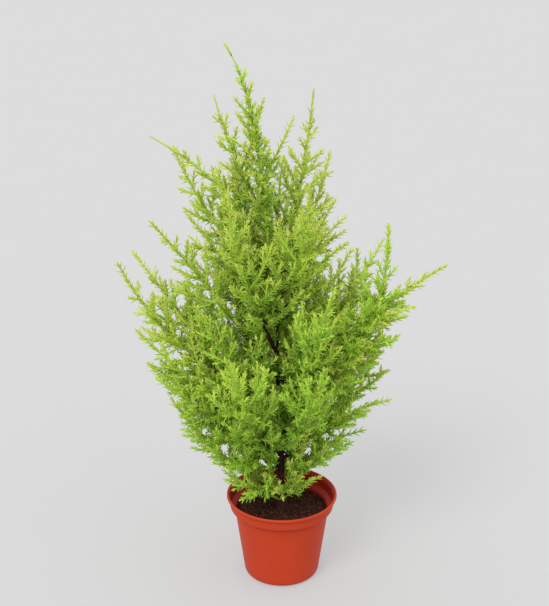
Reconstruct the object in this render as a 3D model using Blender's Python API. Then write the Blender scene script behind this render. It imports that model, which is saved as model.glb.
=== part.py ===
"""Young lemon cypress in a round plastic nursery pot.

Metres, +Z up.  The origin is the centre of the pot's flat underside, and the plant's front
faces -Y.  The trunk rises whole through the crown.  Each bough follows a bowed line whose
bearing, reach and rise are named in BOUGHS, and carries one foliage mass: a three-sided stem
with toothed sprays that branch from it by one seeded rule.  The leader, the trunk's thin tip,
carries the topmost mass, whose sprays are listed one by one.
"""

import math

import bmesh
import bpy
import numpy as np
from mathutils import Matrix, Vector
from mathutils.bvhtree import BVHTree

MM = 0.001
GAP = 0.3 * MM                      # clearance between pieces that touch
SEED = 12

# Pot: a thin moulded cup whose wall steps out to an upright band with a lip on top.
POT_HEIGHT = 95.2 * MM
RIM_RADIUS = 60.0 * MM
LIP_HEIGHT = 3.2 * MM
LIP_CHAMFER = 0.8 * MM
BAND_TOP_RADIUS = 57.2 * MM
BAND_FOOT_RADIUS = 56.2 * MM
BAND_FOOT_HEIGHT = 81.0 * MM
BAND_FOOT_ROUNDING = 0.8 * MM
WALL_TOP_RADIUS = 51.2 * MM
WALL_TOP_HEIGHT = 77.8 * MM
BASE_RADIUS = 41.1 * MM             # where the base's rounding runs into the wall
BASE_ROUNDING = 5.6 * MM
POT_WALL = 1.2 * MM
FLOOR_TOP = 3.4 * MM
GROOVE_INNER_RADIUS = 19.0 * MM     # shallow ring under the floor that the drain holes open into
GROOVE_OUTER_RADIUS = 32.0 * MM
GROOVE_DEPTH = 1.4 * MM
DRAIN_RADIUS = 3.6 * MM
DRAIN_COUNT = 6
POT_SEGMENTS = 32

# Soil: one plug that fills the pot almost to the foot of its band.
SOIL_TOP = 76.5 * MM
SOIL_LINING = POT_WALL + 1.5 * GAP  # distance from the pot's outer wall to the plug's facets
SOIL_RELIEF = 0.9 * MM
SOIL_RINGS = 4
SOIL_SEAT_RADIUS = 7.5 * MM         # level patch that the trunk stands on

# Trunk: it leans left as it rises, and its tip nods further over.
TRUNK_FOOT = SOIL_TOP + GAP
TRUNK_TOP = 461.0 * MM
PLANT_TOP = 587.4 * MM
TRUNK_LEAN = 34.0 * MM
TRUNK_LEAN_POWER = 1.7
TIP_NOD = 22.7 * MM
TIP_NOD_POWER = 12.0
TRUNK_SWAY = 2.5 * MM
TRUNK_RADIUS = 3.8 * MM
TRUNK_TOP_RADIUS = 1.3 * MM
LEADER_TIP_RADIUS = 0.5 * MM
FLARE_RADIUS = 2.0 * MM
FLARE_HEIGHT = 9.0 * MM
FLARE_ROOTS = 5
FLARE_WAVE = 0.35                   # how far the roots stand out of the flare
TRUNK_SIDES = 10
TRUNK_RINGS = 16
TRUNK_RING_POWER = 1.25             # rings lie closer together near the soil

# Boughs: name, height where it leaves the trunk, bearing (0 = +X, 90 = back), reach, rise of
# its tip, bow (share of the length: plus sags, minus arches), bare tip and bare limb.
# Heights and lengths are in millimetres and bearings in degrees.
BOUGHS = (
    ("top_left", 408, 164.5, 53, 126, 0.03, 24, 0),
    ("shoot_left", 460, -165.4, 30, 35, -0.07, 0, 0),
    ("whip_left", 362, -175.6, 118, 136, -0.09, 27, 0),
    ("high_left", 349, 172.6, 97, 130, 0.08, 0, 0),
    ("upper_left", 330, -140.0, 72, 140, 0.03, 0, 0),
    ("shoulder_left", 288, 154.2, 101, 111, 0.0, 0, 0),
    ("behind_left", 276, 151.4, 101, 96, -0.07, 0, 0),
    ("mid_left", 227, -165.4, 129, 188, -0.02, 0, 34),
    ("long_left", 164, 167.8, 156, 196, 0.0, 0, 40),
    ("far_left", 209, -169.2, 163, 162, 0.10, 0, 58),
    ("belly_left", 150, -157.8, 154, 160, 0.02, 0, 0),
    ("fore_left", 178, -142.9, 104, 160, 0.02, 0, 0),
    ("low_left", 128, 172.1, 142, 110, 0.02, 0, 0),
    ("lower_left", 115, -161.3, 141, 154, -0.02, 0, 0),
    ("under_left", 132, -153.7, 139, 128, 0.01, 0, 0),
    ("skirt_left", 96, -155.8, 123, 136, 0.06, 0, 0),
    ("rim_left", 86, -146.5, 73, 58, 0.03, 0, 0),
    ("droop_left", 107, -139.0, 55, 0, -0.16, 0, 0),
    ("drip_left", 113, -126.5, 52, 0, -0.12, 0, 0),
    ("peak_right", 450, -14.0, 31, 64, 0.02, 0, 0),
    ("top_right", 348, 26.0, 47, 189, 0.05, 22, 0),
    ("high_right", 298, 40.8, 75, 165, 0.01, 0, 0),
    ("upper_right", 302, -10.3, 61, 129, -0.01, 0, 0),
    ("shoulder_right", 283, -17.7, 71, 134, -0.07, 0, 0),
    ("behind_right", 275, -39.6, 89, 127, -0.08, 0, 0),
    ("inner_right", 206, -24.4, 79, 181, -0.02, 0, 0),
    ("step_right", 248, 17.0, 87, 118, 0.22, 0, 0),
    ("mid_right", 223, 28.5, 126, 142, 0.03, 0, 44),
    ("near_right", 203, -16.8, 112, 209, 0.15, 0, 44),
    ("whip_right", 156, -5.9, 166, 208, -0.09, 0, 56),
    ("belly_right", 160, -26.0, 144, 178, -0.12, 0, 0),
    ("edge_right", 190, -10.7, 122, 99, -0.02, 0, 0),
    ("low_right", 136, 14.7, 111, 135, 0.13, 0, 0),
    ("lower_right", 110, -0.4, 114, 97, -0.13, 0, 0),
    ("foot_right", 94, 5.8, 88, 72, -0.12, 0, 0),
    ("skirt_right", 100, -32.4, 85, 80, -0.02, 0, 0),
    ("foot_front", 89, -57.5, 54, 127, 0.04, 0, 0),
    ("spray_front", 88, -36.0, 41, 37, 0.02, 0, 0),
    ("front_left", 142, -111.0, 147, 173, 0.06, 0, 0),
    ("front_mid", 204, -64.0, 118, 168, 0.07, 0, 0),
    ("front_right", 165, -74.0, 146, 141, 0.06, 0, 0),
    ("front_high_left", 262, -121.0, 88, 196, 0.06, 0, 0),
    ("front_high_right", 284, -66.0, 80, 182, 0.06, 0, 0),
    ("back_low_left", 118, 118.0, 148, 118, 0.04, 0, 0),
    ("back_low_right", 140, 64.0, 144, 130, 0.04, 0, 0),
    ("back_mid_left", 205, 104.0, 134, 138, 0.05, 0, 0),
    ("back_mid_right", 240, 80.0, 116, 140, 0.05, 0, 0),
    ("back_high_left", 310, 110.0, 82, 122, 0.06, 0, 0),
    ("back_high_right", 350, 78.0, 60, 104, 0.06, 0, 0),
)
BOUGH_SWAY = 0.012                  # sideways swing, as a share of the length
BOUGH_RADIUS = 0.75 * MM            # at the trunk, plus its share of the length
BOUGH_RADIUS_SHARE = 0.0058
BOUGH_TIP_RADIUS = 0.5 * MM
BOUGH_TAPER_POWER = 0.7
BOUGH_SIDES = 5
BOUGH_RINGS = 5
BOUGH_CLEAR = 0.5 * MM              # from the foot of a bough's centre line to the trunk's bark
TANGENT_STEP = 0.01
SHARE_STEP = 0.002                  # step along a bough, as a share, in the search for its foot

# Foliage: the sprays that branch from a stem.
STEM_RINGS = 6
STEM_SIDES = 3
STEM_SHORT = 2.0 * MM               # how far a stem stops short of its bough's tip
SPRAY_FIRST = 9.0 * MM              # first spray, from the foot of the stem
SPRAY_STEP = 31.0 * MM              # step to the next spray at the foot, and at the tip
SPRAY_STEP_AT_TIP = 20.0 * MM
SPRAY_LAST = 14.0 * MM              # last spray, from the tip
SPRAY_TURN = math.radians(137.5)
TURN_SPREAD = 0.3                   # radians by which a turn may differ
SPRAY_ANGLE = math.radians(48)
LEAN_SPREAD = 0.15                  # share by which a spray's angle or length may differ
SPRAY_FOOT = 10.0 * MM              # length = foot + share * left + curve * left squared
SPRAY_SHARE = 0.12
SPRAY_CURVE = 0.0036 / MM
SPRAY_LONGEST = 66.0 * MM
SPRAY_SHORTEST = 15.0 * MM
SPRAY_LIFT = 0.16                   # how far a spray turns up towards the light
SPRAY_DROOP = -0.9                  # the same on a bough that hardly rises
LOW_RISE = 15.0 * MM
END_SPRAY = 30.0 * MM               # the spray that ends a bough at its tip
SHOOT_SHARE = 0.38                  # tooth width along a spray, as a share of the way left
SHOOT_EXTRA = 4.4 * MM
SHOOT_LONGEST = 17.0 * MM
SPRAY_THICKNESS = 1.8 * MM
ROOT_DEPTH = 0.3                    # how deep a spray's root sinks in, as a share of the radius
MIDRIB = 2.6 * MM                   # half width of a spray between two teeth
TOOTH_LIFT = 0.35                   # how far a tooth stands out of the blade's plane
SHORT_SPRAY = ((0.36, 0.68), (0.46, 0.76), (0.45,))
LONG_SPRAY = ((0.28, 0.52, 0.76), (0.36, 0.60, 0.82), (0.34, 0.60))
LONG_SPRAY_LENGTH = 46.0 * MM
FULLNESS = {                        # spray length on some boughs, as a share of the rule's
    "peak_right": 0.9, "shoot_left": 0.8, "foot_front": 0.42, "whip_left": 0.62,
    "low_right": 1.8,
}
# Sprays on the leader: height, bearing and length, in millimetres and degrees.
LEADER_SPRAYS = (
    (473, -20, 18), (480, 80, 24), (487, -95, 20), (493, 188, 17), (501, 172, 29),
    (504, 5, 33), (509, -60, 15), (516, 85, 16), (524, 178, 19),
)
LEADER_ANGLE = math.radians(36)

# Space: what a spray keeps clear of.
CLEARANCE = 0.5 * MM
ROOT_CLEAR = 1.5 * MM               # stretch of a spray's root, past its stem, that isn't tested
OWN_SPACE = 3.0 * MM                # how much nearer another bough's line may be to a spray's tip
RIM_MARGIN = 10.0 * MM
SOIL_MARGIN = 2.0 * MM
# The lowest height of a spray's tip at each distance from the axis, in millimetres.
SKIRT = ((0, 104), (40, 112), (70, 126), (90, 144), (115, 186), (150, 248))
LOW_BOUGHS = ("rim_left", "droop_left", "drip_left", "foot_front", "spray_front")
TRIES = 5
TRY_TURN = 0.9                      # radians round the bough, from one try to the next
TRY_SHORTER = 0.12


def remove_all():
    """Empty the file of its objects."""
    for item in list(bpy.data.objects):
        bpy.data.objects.remove(item, do_unlink=True)


def make_material(name, colour, roughness):
    """Principled material with a plain base colour."""
    material = bpy.data.materials.new(name)
    material.use_nodes = True
    shader = material.node_tree.nodes["Principled BSDF"]
    shader.inputs["Base Color"].default_value = (*colour, 1.0)
    shader.inputs["Roughness"].default_value = roughness
    shader.inputs["Metallic"].default_value = 0.0
    return material


def make_object(name, vertices, faces, material=None, collection=None):
    """Mesh object of the given vertices and faces."""
    mesh = bpy.data.meshes.new(name)
    mesh.from_pydata([tuple(v) for v in vertices], [], faces)
    mesh.update()
    if material:
        mesh.materials.append(material)
    item = bpy.data.objects.new(name, mesh)
    (collection or bpy.context.scene.collection).objects.link(item)
    return item


def turned(name, profile, segments, material):
    """Solid of revolution; the profile starts and ends on the Z axis."""
    bm = bmesh.new()
    points = [bm.verts.new((radius, 0.0, height)) for radius, height in profile]
    edges = [bm.edges.new(pair) for pair in zip(points, points[1:])]
    bmesh.ops.spin(bm, geom=points + edges, cent=(0, 0, 0), axis=(0, 0, 1),
                   angle=2 * math.pi, steps=segments, use_merge=True)
    bmesh.ops.remove_doubles(bm, verts=bm.verts, dist=1e-6)
    bmesh.ops.recalc_face_normals(bm, faces=bm.faces)
    mesh = bpy.data.meshes.new(name)
    bm.to_mesh(mesh)
    bm.free()
    mesh.materials.append(material)
    item = bpy.data.objects.new(name, mesh)
    bpy.context.scene.collection.objects.link(item)
    return item


def shade_round(item, angle):
    """Smooth shading, with edges sharper than the angle kept sharp."""
    item.data.shade_smooth()
    item.data.set_sharp_from_angle(angle=angle)


def pot_wall_radius(height):
    """Outer radius of the plain wall."""
    share = (height - BASE_ROUNDING) / (WALL_TOP_HEIGHT - BASE_ROUNDING)
    return BASE_RADIUS + (WALL_TOP_RADIUS - BASE_RADIUS) * share


def base_arc(radius, rounding, bottom, steps=3):
    """Quarter round from the level floor up to the wall."""
    centre = radius - rounding
    for step in range(steps + 1):
        angle = math.pi / 2 * step / steps
        yield centre + rounding * math.sin(angle), bottom + rounding * (1 - math.cos(angle))


def build_pot(material):
    """Hollow cup, open at the top, with drain holes through its grooved floor."""
    lip_foot = POT_HEIGHT - LIP_HEIGHT
    outside = [(0.0, 0.0),
               (GROOVE_INNER_RADIUS, 0.0),
               (GROOVE_INNER_RADIUS + GROOVE_DEPTH, GROOVE_DEPTH),
               (GROOVE_OUTER_RADIUS - GROOVE_DEPTH, GROOVE_DEPTH),
               (GROOVE_OUTER_RADIUS, 0.0)]
    outside += base_arc(BASE_RADIUS, BASE_ROUNDING, 0.0)
    outside += [(WALL_TOP_RADIUS, WALL_TOP_HEIGHT),
                (BAND_FOOT_RADIUS - BAND_FOOT_ROUNDING, BAND_FOOT_HEIGHT - BAND_FOOT_ROUNDING),
                (BAND_FOOT_RADIUS, BAND_FOOT_HEIGHT),
                (BAND_TOP_RADIUS, lip_foot),
                (RIM_RADIUS, lip_foot + LIP_CHAMFER / 2),
                (RIM_RADIUS, POT_HEIGHT - LIP_CHAMFER),
                (RIM_RADIUS - LIP_CHAMFER, POT_HEIGHT)]
    inside = [(RIM_RADIUS - 2 * LIP_CHAMFER, POT_HEIGHT - LIP_CHAMFER / 2),
              (BAND_TOP_RADIUS - POT_WALL, lip_foot),
              (BAND_FOOT_RADIUS - POT_WALL, BAND_FOOT_HEIGHT + POT_WALL),
              (WALL_TOP_RADIUS - POT_WALL, WALL_TOP_HEIGHT + POT_WALL)]
    arc = base_arc(BASE_RADIUS - POT_WALL, BASE_ROUNDING - POT_WALL, FLOOR_TOP, steps=2)
    inside += reversed(list(arc))
    inside += [(0.0, FLOOR_TOP)]
    pot = turned("pot", outside + inside, POT_SEGMENTS, material)
    ring_radius = (GROOVE_INNER_RADIUS + GROOVE_OUTER_RADIUS) / 2
    for k in range(DRAIN_COUNT):
        angle = 2 * math.pi * (k + 0.5) / DRAIN_COUNT
        cut_drain(pot, ring_radius * math.cos(angle), ring_radius * math.sin(angle))
    shade_round(pot, math.radians(35))
    return pot


def cut_drain(pot, x, y):
    """One round hole through the pot's floor."""
    bpy.ops.mesh.primitive_cylinder_add(vertices=12, radius=DRAIN_RADIUS, depth=4 * FLOOR_TOP,
                                        location=(x, y, 0.0))
    cutter = bpy.context.object
    apply_boolean(pot, "DIFFERENCE", cutter=cutter)
    bpy.data.objects.remove(cutter, do_unlink=True)


def apply_boolean(item, operation, cutter=None, group=None):
    """Boolean with one object or a whole collection, applied to the item's mesh."""
    modifier = item.modifiers.new("boolean", "BOOLEAN")
    modifier.operation = operation
    if group:
        modifier.operand_type = "COLLECTION"
        modifier.collection = group
    else:
        modifier.object = cutter
    graph = bpy.context.evaluated_depsgraph_get()
    mesh = bpy.data.meshes.new_from_object(item.evaluated_get(graph))
    item.modifiers.clear()
    item.data = mesh


def build_soil(material):
    """Plug inside the pot's wall; its top is lumpy but level where the trunk stands."""
    rng = np.random.default_rng((SEED, 900))
    floor = FLOOR_TOP + GAP
    low = FLOOR_TOP + BASE_ROUNDING
    edge = pot_wall_radius(SOIL_TOP) - SOIL_LINING
    vertices = [Vector((0, 0, floor))]
    rings = [(BASE_RADIUS - BASE_ROUNDING, floor, 0.0),
             (pot_wall_radius(low) - SOIL_LINING, low, 0.0),
             (edge, SOIL_TOP, 0.0)]
    for k in range(1, SOIL_RINGS + 1):
        radius = edge + (SOIL_SEAT_RADIUS - edge) * k / SOIL_RINGS
        rings.append((radius, SOIL_TOP, SOIL_RELIEF if k < SOIL_RINGS else 0.0))
    for radius, height, relief in rings:
        for k in range(POT_SEGMENTS):
            angle = 2 * math.pi * k / POT_SEGMENTS
            lump = relief * rng.uniform(-1.0, 0.6)
            vertices.append(Vector((radius * math.cos(angle), radius * math.sin(angle),
                                    height + lump)))
    vertices.append(Vector((0, 0, SOIL_TOP)))
    faces = []
    for k in range(POT_SEGMENTS):
        following = (k + 1) % POT_SEGMENTS
        faces.append((0, 1 + following, 1 + k))
        for r in range(len(rings) - 1):
            low = 1 + r * POT_SEGMENTS
            high = low + POT_SEGMENTS
            faces.append((low + k, low + following, high + following, high + k))
        faces.append((high + k, high + following, len(vertices) - 1))
    return make_object("soil", vertices, faces, material)


def trunk_point(height):
    """Centre of the trunk, or of the leader above it, at a height."""
    share = (height - SOIL_TOP) / (PLANT_TOP - SOIL_TOP)
    share = min(max(share, 0.0), 1.0)
    lean = TRUNK_LEAN * share ** TRUNK_LEAN_POWER + TIP_NOD * share ** TIP_NOD_POWER
    return Vector((-lean, TRUNK_SWAY * math.sin(2 * math.pi * share), height))


def trunk_radius(height):
    """Even taper from the soil to the fork of the leader, then to its tip."""
    if height > TRUNK_TOP:
        share = (height - TRUNK_TOP) / (PLANT_TOP - TRUNK_TOP)
        return TRUNK_TOP_RADIUS + (LEADER_TIP_RADIUS - TRUNK_TOP_RADIUS) * share
    share = (height - TRUNK_FOOT) / (TRUNK_TOP - TRUNK_FOOT)
    return TRUNK_RADIUS + (TRUNK_TOP_RADIUS - TRUNK_RADIUS) * share


def root_flare(height):
    """What the flare adds to the trunk's radius just above the soil."""
    return FLARE_RADIUS * math.exp(-(height - TRUNK_FOOT) / FLARE_HEIGHT)


def ring_frames(points):
    """Two unit vectors across the path at each point, carried along without twist."""
    tangents = []
    for k in range(len(points)):
        ahead = points[min(k + 1, len(points) - 1)]
        behind = points[max(k - 1, 0)]
        tangents.append((ahead - behind).normalized())
    across = tangents[0].orthogonal().normalized()
    frames = []
    for k, tangent in enumerate(tangents):
        if k:
            across = tangents[k - 1].rotation_difference(tangent) @ across
        across = (across - tangent * across.dot(tangent)).normalized()
        frames.append((across, tangent.cross(across)))
    return frames, tangents


def tube(points, radii, sides, foot_plane=None):
    """Closed limb along a path; foot_plane moves the first ring, along the path, onto a plane."""
    frames, tangents = ring_frames(points)
    vertices = []
    for k, (point, radius) in enumerate(zip(points, radii)):
        across, over = frames[k]
        for s in range(sides):
            angle = 2 * math.pi * s / sides
            corner = point + (across * math.cos(angle) + over * math.sin(angle)) * radius
            if k == 0 and foot_plane:
                origin, normal = foot_plane
                corner += tangents[0] * ((origin - corner).dot(normal) / tangents[0].dot(normal))
            vertices.append(corner)
    faces = [tuple(reversed(range(sides)))]
    for k in range(len(points) - 1):
        low = k * sides
        for s in range(sides):
            following = (s + 1) % sides
            faces.append((low + s, low + following, low + sides + following, low + sides + s))
    last = (len(points) - 1) * sides
    faces.append(tuple(range(last, last + sides)))
    return vertices, faces


def build_trunk(material):
    """Tapering stem with a short root flare, cut level at the soil and at its top."""
    vertices = []
    for k in range(TRUNK_RINGS):
        share = (k / (TRUNK_RINGS - 1)) ** TRUNK_RING_POWER
        height = TRUNK_FOOT + (TRUNK_TOP - TRUNK_FOOT) * share
        centre = trunk_point(height)
        for s in range(TRUNK_SIDES):
            angle = 2 * math.pi * s / TRUNK_SIDES
            flare = root_flare(height) * (1 + FLARE_WAVE * math.cos(FLARE_ROOTS * angle))
            radius = trunk_radius(height) + flare
            vertices.append(centre + Vector((math.cos(angle), math.sin(angle), 0)) * radius)
    faces = [tuple(reversed(range(TRUNK_SIDES)))]
    for k in range(TRUNK_RINGS - 1):
        low = k * TRUNK_SIDES
        for s in range(TRUNK_SIDES):
            following = (s + 1) % TRUNK_SIDES
            high = low + TRUNK_SIDES
            faces.append((low + s, low + following, high + following, high + s))
    last = (TRUNK_RINGS - 1) * TRUNK_SIDES
    faces.append(tuple(range(last, last + TRUNK_SIDES)))
    trunk = make_object("trunk", vertices, faces, material)
    shade_round(trunk, math.radians(60))
    return trunk


class Limb:
    """A line that foliage grows on: a subclass gives it its points and radii."""

    def tangent(self, t):
        ahead = self.point(min(t + TANGENT_STEP, 1))
        behind = self.point(max(t - TANGENT_STEP, 0))
        return (ahead - behind).normalized()

    def tube(self, first, last, rings, sides, extra=0.0):
        steps = [first + (last - first) * k / (rings - 1) for k in range(rings)]
        points = [self.point(t) for t in steps]
        radii = [self.radius(t) + extra for t in steps]
        return tube(points, radii, sides, self.foot_plane(first))


class Bough(Limb):
    """One bough: its bowed centre line, taper and the share of it that is bare limb."""

    def __init__(self, index, name, leaves, bearing, reach, rise, bow, whip, bare):
        self.index = index
        self.name = name
        self.last_spray = max(whip * MM, SPRAY_LAST)
        self.has_whip = whip > 0
        self.lift = SPRAY_LIFT if rise * MM > LOW_RISE else SPRAY_DROOP
        self.start = trunk_point(leaves * MM)
        angle = math.radians(bearing)
        self.outward = Vector((math.cos(angle), math.sin(angle), 0))
        self.chord = self.outward * reach * MM + Vector((0, 0, rise * MM))
        self.length = self.chord.length
        forward = self.chord.normalized()
        self.sag = (self.outward - forward * self.outward.dot(forward)).normalized()
        self.side = forward.cross(self.sag)
        self.bow = bow * self.length
        self.sway = BOUGH_SWAY * self.length * (1 if index % 2 else -1)
        self.foot = self.share_clear_of_trunk()
        self.fork = max(self.foot, bare * MM / self.length) if bare else self.foot
        self.has_limb = bare > 0
        self.mass_foot = self.fork + GAP / self.length if self.has_limb else self.foot

    def point(self, t):
        arch = self.sag * self.bow * 4 * t * (1 - t)
        swing = self.side * self.sway * math.sin(2 * math.pi * t)
        return self.start + self.chord * t + arch + swing

    def radius(self, t):
        thick = BOUGH_RADIUS + BOUGH_RADIUS_SHARE * self.length - BOUGH_TIP_RADIUS
        return BOUGH_TIP_RADIUS + thick * (1 - t) ** BOUGH_TAPER_POWER

    def share_clear_of_trunk(self):
        """Share of the length at which the limb's upright foot clears the trunk's bark."""
        t = 0.0
        while self.trunk_distance(t) < BOUGH_CLEAR:
            t += SHARE_STEP
        return t

    def trunk_distance(self, t):
        point = self.point(t)
        bark = trunk_radius(point.z) + root_flare(point.z) * (1 + FLARE_WAVE)
        return (point - trunk_point(point.z)).dot(self.outward) - bark

    def foot_plane(self, first):
        """Upright plane across the bough, just clear of the trunk, if it starts there."""
        return (self.point(self.foot), self.outward) if first == self.foot else None


class Leader(Limb):
    """The trunk's thin tip, which carries the topmost foliage."""

    def __init__(self, index):
        self.index = index
        self.name = "leader"
        self.length = PLANT_TOP - TRUNK_TOP
        self.foot = GAP / self.length
        self.fork = self.foot
        self.mass_foot = self.foot
        self.has_limb = False
        self.has_whip = True

    def point(self, t):
        return trunk_point(TRUNK_TOP + self.length * t)

    def radius(self, t):
        return trunk_radius(TRUNK_TOP + self.length * t)

    def foot_plane(self, first):
        return None


def spray_length(bough, along, rng):
    """Length of a spray by the way that is left from it to its bough's tip."""
    left = bough.length - along
    length = SPRAY_FOOT + SPRAY_SHARE * left + SPRAY_CURVE * left ** 2
    length = min(length, SPRAY_LONGEST) * FULLNESS.get(bough.name, 1.0)
    return max(length * rng.uniform(1 - LEAN_SPREAD, 1 + LEAN_SPREAD / 2), SPRAY_SHORTEST)


def toothed_spray(root, forward, across, length, extra=0.0):
    """Thin blade with a raised ridge; its teeth stand for the shoots on both sides of a spray."""
    teeth, notches, ridge = LONG_SPRAY if length > LONG_SPRAY_LENGTH else SHORT_SPRAY
    normal = forward.cross(across)
    half = SPRAY_THICKNESS / 2 + extra
    right = []
    for k, (tooth, notch) in enumerate(zip(teeth, notches)):
        reach = SHOOT_SHARE * length * (1 - tooth) + SHOOT_EXTRA
        wide = min(reach, SHOOT_LONGEST) + extra
        lift = wide * TOOTH_LIFT * (1 if k % 2 else -1)
        right.append((length * tooth, wide, lift))
        right.append((length * notch, MIDRIB + extra, 0.0))
    left = [(along, -wide, -lift) for along, wide, lift in reversed(right)]
    outline = [(0.0, 0.0, 0.0)] + right + [(length + extra, 0.0, 0.0)] + left
    count = len(outline)
    vertices = [root + forward * x + across * y + normal * z for x, y, z in outline]
    faces = []
    for side in (1, -1):
        crest = [len(vertices) + k for k in range(len(ridge))]
        vertices += [root + forward * length * x + normal * half * side for x in ridge]
        nearest = [nearest_crest(outline[k][0] / length, ridge) for k in range(count)]
        for k in range(count):
            following = (k + 1) % count
            triangle = [k, following, crest[nearest[k]]]
            faces.append(tuple(triangle if side < 0 else reversed(triangle)))
            if nearest[k] != nearest[following]:
                triangle = [crest[nearest[k]], following, crest[nearest[following]]]
                faces.append(tuple(triangle if side < 0 else reversed(triangle)))
    return vertices, faces


def nearest_crest(share, ridge):
    """Number of the ridge's point that is nearest, and the further one of two as near."""
    return min(range(len(ridge)), key=lambda r: (abs(share - ridge[r]), -r))


def tree_of(vertices, faces):
    """Search tree over a piece's faces."""
    return BVHTree.FromPolygons(vertices, faces, epsilon=0.0)


class Space:
    """Which space each mass may use: clear of limbs and other masses, near its own bough."""

    def __init__(self, boughs, limbs):
        self.limbs = limbs
        self.masses = []
        self.lines = []
        for bough in boughs:
            shares = np.linspace(bough.fork, 1.0, 30)
            self.lines.append(np.array([bough.point(t) for t in shares]))

    def nearest(self, own, point):
        """True if the point is nearer to its own bough than to any other, or almost."""
        distances = [np.linalg.norm(line - np.array(point), axis=1).min() for line in self.lines]
        return distances[own] <= min(distances) + OWN_SPACE

    def free(self, bough, piece, tip):
        """True if a piece with this tip may be added to the bough's mass."""
        reach = math.hypot(tip.x, tip.y)
        if tip.z < POT_HEIGHT and reach > RIM_RADIUS - RIM_MARGIN:
            return False
        distances, heights = np.array(SKIRT).T * MM
        if bough.name not in LOW_BOUGHS and tip.z < np.interp(reach, distances, heights):
            return False
        if min(v.z for v in piece[0]) < SOIL_TOP + SOIL_MARGIN:
            return False
        if not self.nearest(bough.index, tip):
            return False
        tree = tree_of(*piece)
        others = [limb for key, limb in self.limbs if key != bough.index]
        return not any(tree.overlap(other) for other in others + self.masses)


def grow_mass(bough, space, material):
    """One foliage mass: a stem with sprays that branch by the seeded rule, fused into one."""
    rng = np.random.default_rng((SEED, bough.index))
    last = 1.0 - STEM_SHORT / bough.length
    pieces = [bough.tube(bough.mass_foot, last, STEM_RINGS, STEM_SIDES)]
    if bough.name == "leader":
        pieces += listed_sprays(bough, space, rng)
    else:
        pieces += ruled_sprays(bough, space, rng)
    if not bough.has_whip:
        pieces += end_spray(bough, space)
    space.masses.append(tree_of(*joined(pieces)))
    return fuse("foliage_" + bough.name, pieces, material)


def ruled_sprays(bough, space, rng):
    """Sprays along a bough, each a golden angle on from the last; one with no room is skipped."""
    sprays = []
    along = bough.length * bough.mass_foot + SPRAY_FIRST
    turn = rng.uniform(0, 2 * math.pi)
    while along < bough.length - bough.last_spray:
        t = along / bough.length
        tangent = bough.tangent(t)
        across = tangent.orthogonal().normalized()
        over = tangent.cross(across)
        for attempt in range(TRIES):
            angle = turn + attempt * TRY_TURN
            length = spray_length(bough, along, rng) * (1 - TRY_SHORTER * attempt)
            away = across * math.cos(angle) + over * math.sin(angle)
            lean = SPRAY_ANGLE * rng.uniform(1 - LEAN_SPREAD, 1 + LEAN_SPREAD)
            forward = tangent * math.cos(lean) + away * math.sin(lean) + Vector((0, 0, bough.lift))
            spray, fat, tip = place_spray(bough, t, forward.normalized(), length, rng)
            if space.free(bough, fat, tip):
                sprays.append(spray)
                break
        turn += SPRAY_TURN + rng.uniform(-TURN_SPREAD, TURN_SPREAD)
        along += SPRAY_STEP + (SPRAY_STEP_AT_TIP - SPRAY_STEP) * t
    return sprays


def listed_sprays(leader, space, rng):
    """The leader's sprays, each at its own height and bearing."""
    sprays = []
    for height, bearing, length in LEADER_SPRAYS:
        t = (height * MM - TRUNK_TOP) / leader.length
        tangent = leader.tangent(t)
        angle = math.radians(bearing)
        away = Vector((math.cos(angle), math.sin(angle), 0))
        away = (away - tangent * away.dot(tangent)).normalized()
        forward = tangent * math.cos(LEADER_ANGLE) + away * math.sin(LEADER_ANGLE)
        spray, fat, tip = place_spray(leader, t, forward, length * MM, rng)
        if space.free(leader, fat, tip):
            sprays.append(spray)
    return sprays


def place_spray(bough, t, forward, length, rng):
    """Spray at share t of a bough, rolled at random; also a fatter one for testing."""
    roll = rng.uniform(0, math.pi)
    flat = forward.orthogonal().normalized()
    side = flat * math.cos(roll) + forward.cross(flat) * math.sin(roll)
    root = bough.point(t) - forward * bough.radius(t) * ROOT_DEPTH
    spray = toothed_spray(root, forward, side, length)
    start = root + forward * (bough.radius(t) + ROOT_CLEAR)
    fat = toothed_spray(start, forward, side, length, CLEARANCE)
    return spray, fat, root + forward * length


def end_spray(bough, space):
    """The spray that finishes a bough, with its point at the bough's tip, if it has room."""
    tip = bough.point(1.0)
    forward = bough.tangent(1.0)
    across = forward.orthogonal().normalized()
    for attempt in range(TRIES):
        length = END_SPRAY * (1 - TRY_SHORTER * attempt)
        side = Matrix.Rotation(attempt * TRY_TURN, 3, forward) @ across
        root = tip - forward * length
        fat = toothed_spray(root, forward, side, length, CLEARANCE)
        if space.free(bough, fat, tip):
            return [toothed_spray(root, forward, side, length)]
    return []


def joined(pieces):
    """Vertices and faces of several pieces in one list."""
    vertices, faces = [], []
    for piece_vertices, piece_faces in pieces:
        offset = len(vertices)
        vertices += piece_vertices
        faces += [tuple(offset + k for k in face) for face in piece_faces]
    return vertices, faces


def fuse(name, pieces, material):
    """Join the pieces of a mass by one union on a collection."""
    group = bpy.data.collections.new(name + "_parts")
    bpy.context.scene.collection.children.link(group)
    stem = make_object(name, *pieces[0])
    parts = [make_object("spray", *piece, collection=group) for piece in pieces[1:]]
    for item in [stem] + parts:
        triangulate(item.data)
    if parts:
        apply_boolean(stem, "UNION", group=group)
    for item in parts:
        bpy.data.objects.remove(item, do_unlink=True)
    bpy.data.collections.remove(group)
    keep_largest_body(stem.data)
    stem.data.materials.clear()
    stem.data.materials.append(material)
    return stem


def triangulate(mesh):
    """Cut every face into triangles."""
    bm = bmesh.new()
    bm.from_mesh(mesh)
    bmesh.ops.triangulate(bm, faces=bm.faces)
    bm.to_mesh(mesh)
    bm.free()


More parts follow.
